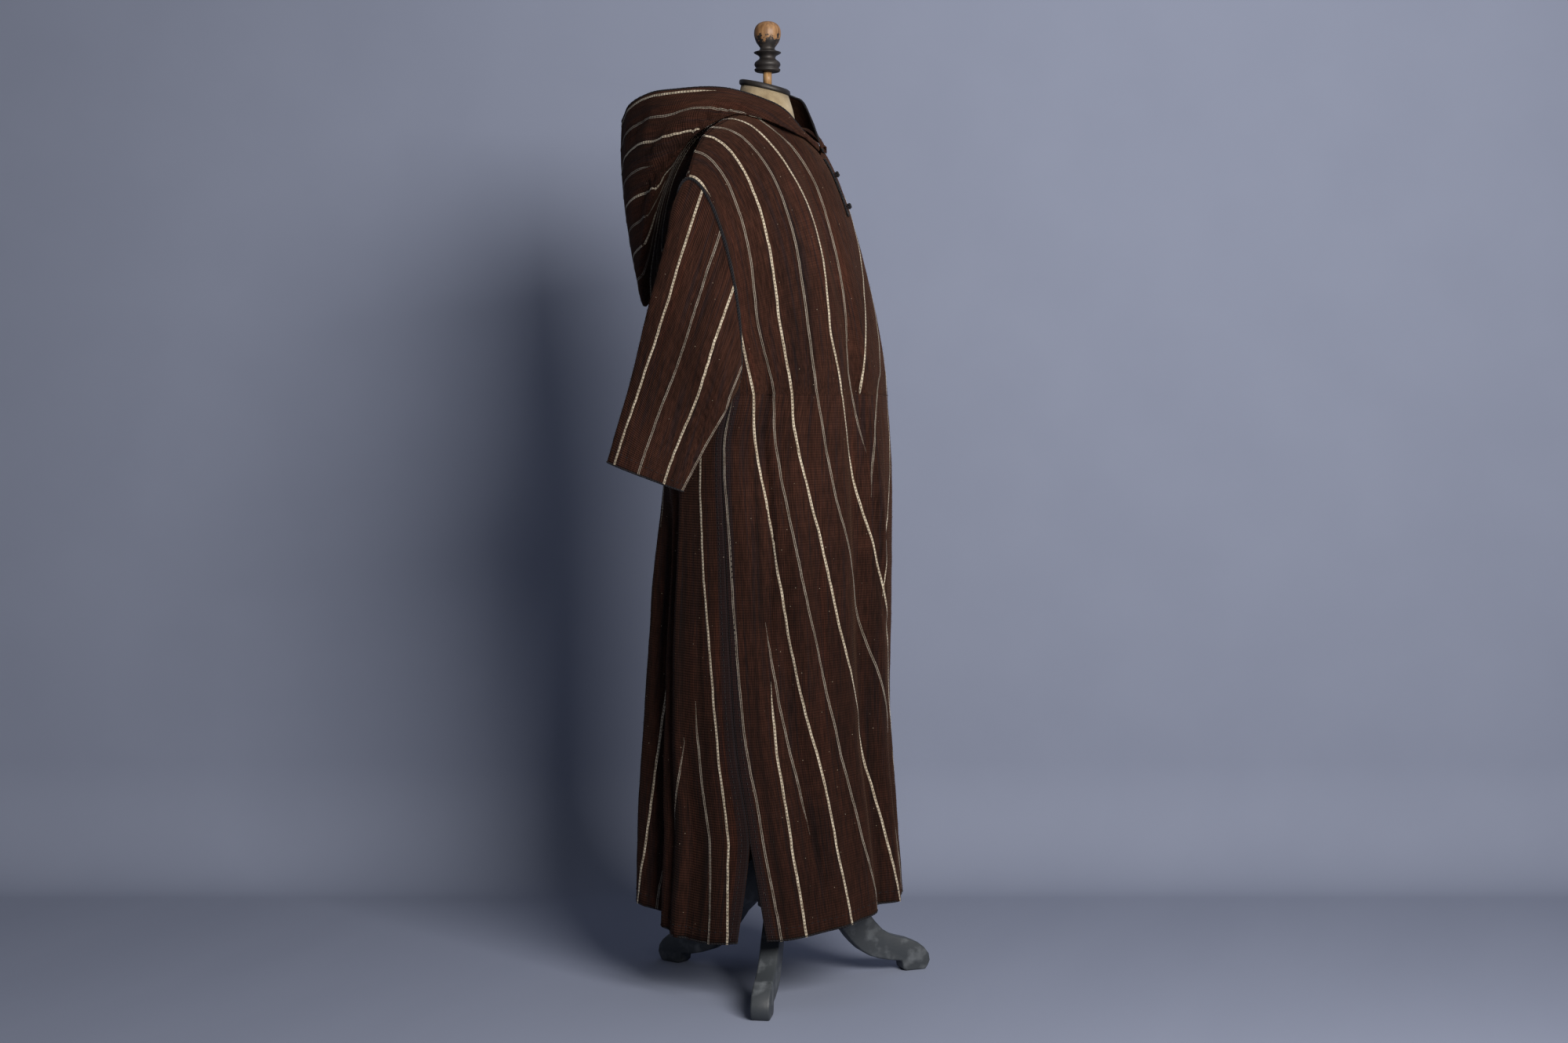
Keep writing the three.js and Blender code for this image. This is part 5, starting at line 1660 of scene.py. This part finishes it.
def area_light(name, place, target, size, power, colour):
    """A soft box at a place, turned to its target."""
    data = bpy.data.lights.new(name, "AREA")
    data.shape = "RECTANGLE"
    data.size, data.size_y = size
    data.energy = power
    data.color = linear(colour)[:3]
    lamp = link(bpy.data.objects.new(name, data))
    lamp.location = place
    lamp.rotation_mode = "QUATERNION"
    lamp.rotation_quaternion = (target - place).to_track_quat("-Z", "Y")


def build_lights():
    """The key, fill and overhead lights, and the even air light."""
    studio = bpy.context.scene.robe_studio
    chest = stage_place(0, 0, 1.0)
    for row in LIGHTS:
        area_light(row["name"], stage_place(*row["place"]), chest, row["size"],
                   getattr(studio, row["power"]), row["colour"])
    world = bpy.data.worlds.new("studio_air")
    world.use_nodes = True
    background = world.node_tree.nodes["Background"]
    background.inputs["Color"].default_value = linear("#c9cfdb")
    background.inputs["Strength"].default_value = studio.air
    bpy.context.scene.world = world
    bpy.context.scene.view_settings.view_transform = "Standard"


def build_camera():
    """A level camera with a raised lens, so that the horizon lies above the middle."""
    data = bpy.data.cameras.new("studio_camera")
    data.sensor_width = 36
    data.lens = 36 * FOCAL_PX / FRAME_WIDTH_PX
    data.shift_y = -HORIZON_RISE_PX / FRAME_WIDTH_PX
    camera = link(bpy.data.objects.new("studio_camera", data))
    camera.location = stage_place(0, -CAMERA_DISTANCE, CAMERA_HEIGHT)
    camera.rotation_mode = "QUATERNION"
    camera.rotation_quaternion = VIEW_AWAY.to_track_quat("-Z", "Y")
    bpy.context.scene.camera = camera


# ---- add-on classes ------------------------------------------------------------------
class RobeSizes(bpy.types.PropertyGroup):
    cloth_thickness: FloatProperty(
        name="Cloth thickness", description="Thickness of the wool", default=0.0018,
        unit="LENGTH")
    wrinkle: FloatProperty(
        name="Wrinkle", description="Depth of the small uneven wrinkles", default=0.0022,
        unit="LENGTH")
    beaded_width: FloatProperty(
        name="Beaded stripe", description="Width of a chained cream stripe", default=0.004,
        unit="LENGTH")
    nap_length: FloatProperty(
        name="Nap length", description="Length of the loose fibres", default=0.0042,
        unit="LENGTH")
    nap_count: IntProperty(
        name="Nap count", description="Loose fibres on each body panel", default=26000)


class RobeColours(bpy.types.PropertyGroup):
    brown: StringProperty(name="Brown", description="Main wool colour", default="#3c231a")
    red_brown: StringProperty(name="Red brown", description="Lighter warp streaks",
                              default="#48281d")
    shade: StringProperty(name="Dark brown", description="Darker warp streaks", default="#281712")
    indigo: StringProperty(name="Blue black", description="Blue-black bands", default="#1d191e")
    cream: StringProperty(name="Cream", description="Beaded stripes", default="#c0b7a5")
    grey: StringProperty(name="Grey", description="Paired stripes", default="#8f887e")
    cord: StringProperty(name="Cord", description="Braid and edge cords", default="#18171b")


class RobeStudio(bpy.types.PropertyGroup):
    key_power: FloatProperty(name="Key", description="Key light power", default=192, unit="POWER")
    fill_power: FloatProperty(name="Fill", description="Fill light power", default=6,
                              unit="POWER")
    top_power: FloatProperty(name="Top", description="Overhead light power", default=12,
                             unit="POWER")
    air: FloatProperty(name="Air", description="Strength of the even studio light", default=0.08)
    canvas: StringProperty(name="Canvas", description="Backdrop colour", default="#80879a")


class ROBE_OT_body(bpy.types.Operator):
    """Front and back panels with stripes, seams and nap"""
    bl_idname = "robe.body"
    bl_label = "Front and back panels"

    def execute(self, context):
        for side in (-1, 1):
            build_panel(side)
        return {"FINISHED"}


class ROBE_OT_sleeves(bpy.types.Operator):
    """Both sleeves with cuffs and armhole seams"""
    bl_idname = "robe.sleeves"
    bl_label = "Sleeves"

    def execute(self, context):
        for side in (-1, 1):
            build_sleeve(side)
        return {"FINISHED"}


class ROBE_OT_hood(bpy.types.Operator):
    """The hood, laid back, with its rim cord"""
    bl_idname = "robe.hood"
    bl_label = "Hood"

    def execute(self, context):
        build_hood()
        return {"FINISHED"}


class ROBE_OT_closure(bpy.types.Operator):
    """Braid and knot buttons below the neck"""
    bl_idname = "robe.closure"
    bl_label = "Braid and knots"

    def execute(self, context):
        build_braid()
        for name, height in KNOT_HEIGHTS.items():
            build_knot(name, height)
        return {"FINISHED"}


class ROBE_OT_form(bpy.types.Operator):
    """Linen-covered torso with its neck cap and turned finial"""
    bl_idname = "robe.form"
    bl_label = "Dress form"

    def execute(self, context):
        build_form()
        build_neck_cap()
        build_finial()
        return {"FINISHED"}


class ROBE_OT_stand(bpy.types.Operator):
    """Tripod legs, pole and hub"""
    bl_idname = "robe.stand"
    bl_label = "Stand"

    def execute(self, context):
        build_legs()
        dress_stand()
        return {"FINISHED"}


class ROBE_OT_stage(bpy.types.Operator):
    """Backdrop, lights and camera"""
    bl_idname = "robe.stage"
    bl_label = "Studio stage"

    def execute(self, context):
        build_backdrop()
        build_lights()
        build_camera()
        return {"FINISHED"}


OPERATORS = (ROBE_OT_body, ROBE_OT_sleeves, ROBE_OT_hood, ROBE_OT_closure, ROBE_OT_form,
             ROBE_OT_stand, ROBE_OT_stage)


class ROBE_PT_panel(bpy.types.Panel):
    """Lists the robe's build steps"""
    bl_idname = "ROBE_PT_panel"
    bl_label = "Robe"
    bl_space_type = "VIEW_3D"
    bl_region_type = "UI"
    bl_category = "Robe"

    def draw(self, context):
        for group in (context.scene.robe_sizes, context.scene.robe_colours,
                      context.scene.robe_studio):
            for key in group.__annotations__:
                self.layout.prop(group, key)
        for operator in OPERATORS:
            self.layout.operator(operator.bl_idname)


GROUPS = {"robe_sizes": RobeSizes, "robe_colours": RobeColours, "robe_studio": RobeStudio}


def register():
    for cls in (*GROUPS.values(), *OPERATORS, ROBE_PT_panel):
        bpy.utils.register_class(cls)
    for key, cls in GROUPS.items():
        setattr(bpy.types.Scene, key, PointerProperty(type=cls))


def unregister():
    for key in GROUPS:
        delattr(bpy.types.Scene, key)
    for cls in reversed((*GROUPS.values(), *OPERATORS, ROBE_PT_panel)):
        bpy.utils.unregister_class(cls)


def main():
    """Builds every piece in order."""
    register()
    for operator in OPERATORS:
        step = operator.bl_idname.split(".")[1]
        if getattr(bpy.ops.robe, step)() != {"FINISHED"}:
            raise RuntimeError(f"{operator.bl_label} did not finish")
    bpy.context.view_layer.update()


if __name__ == "__main__":
    main()
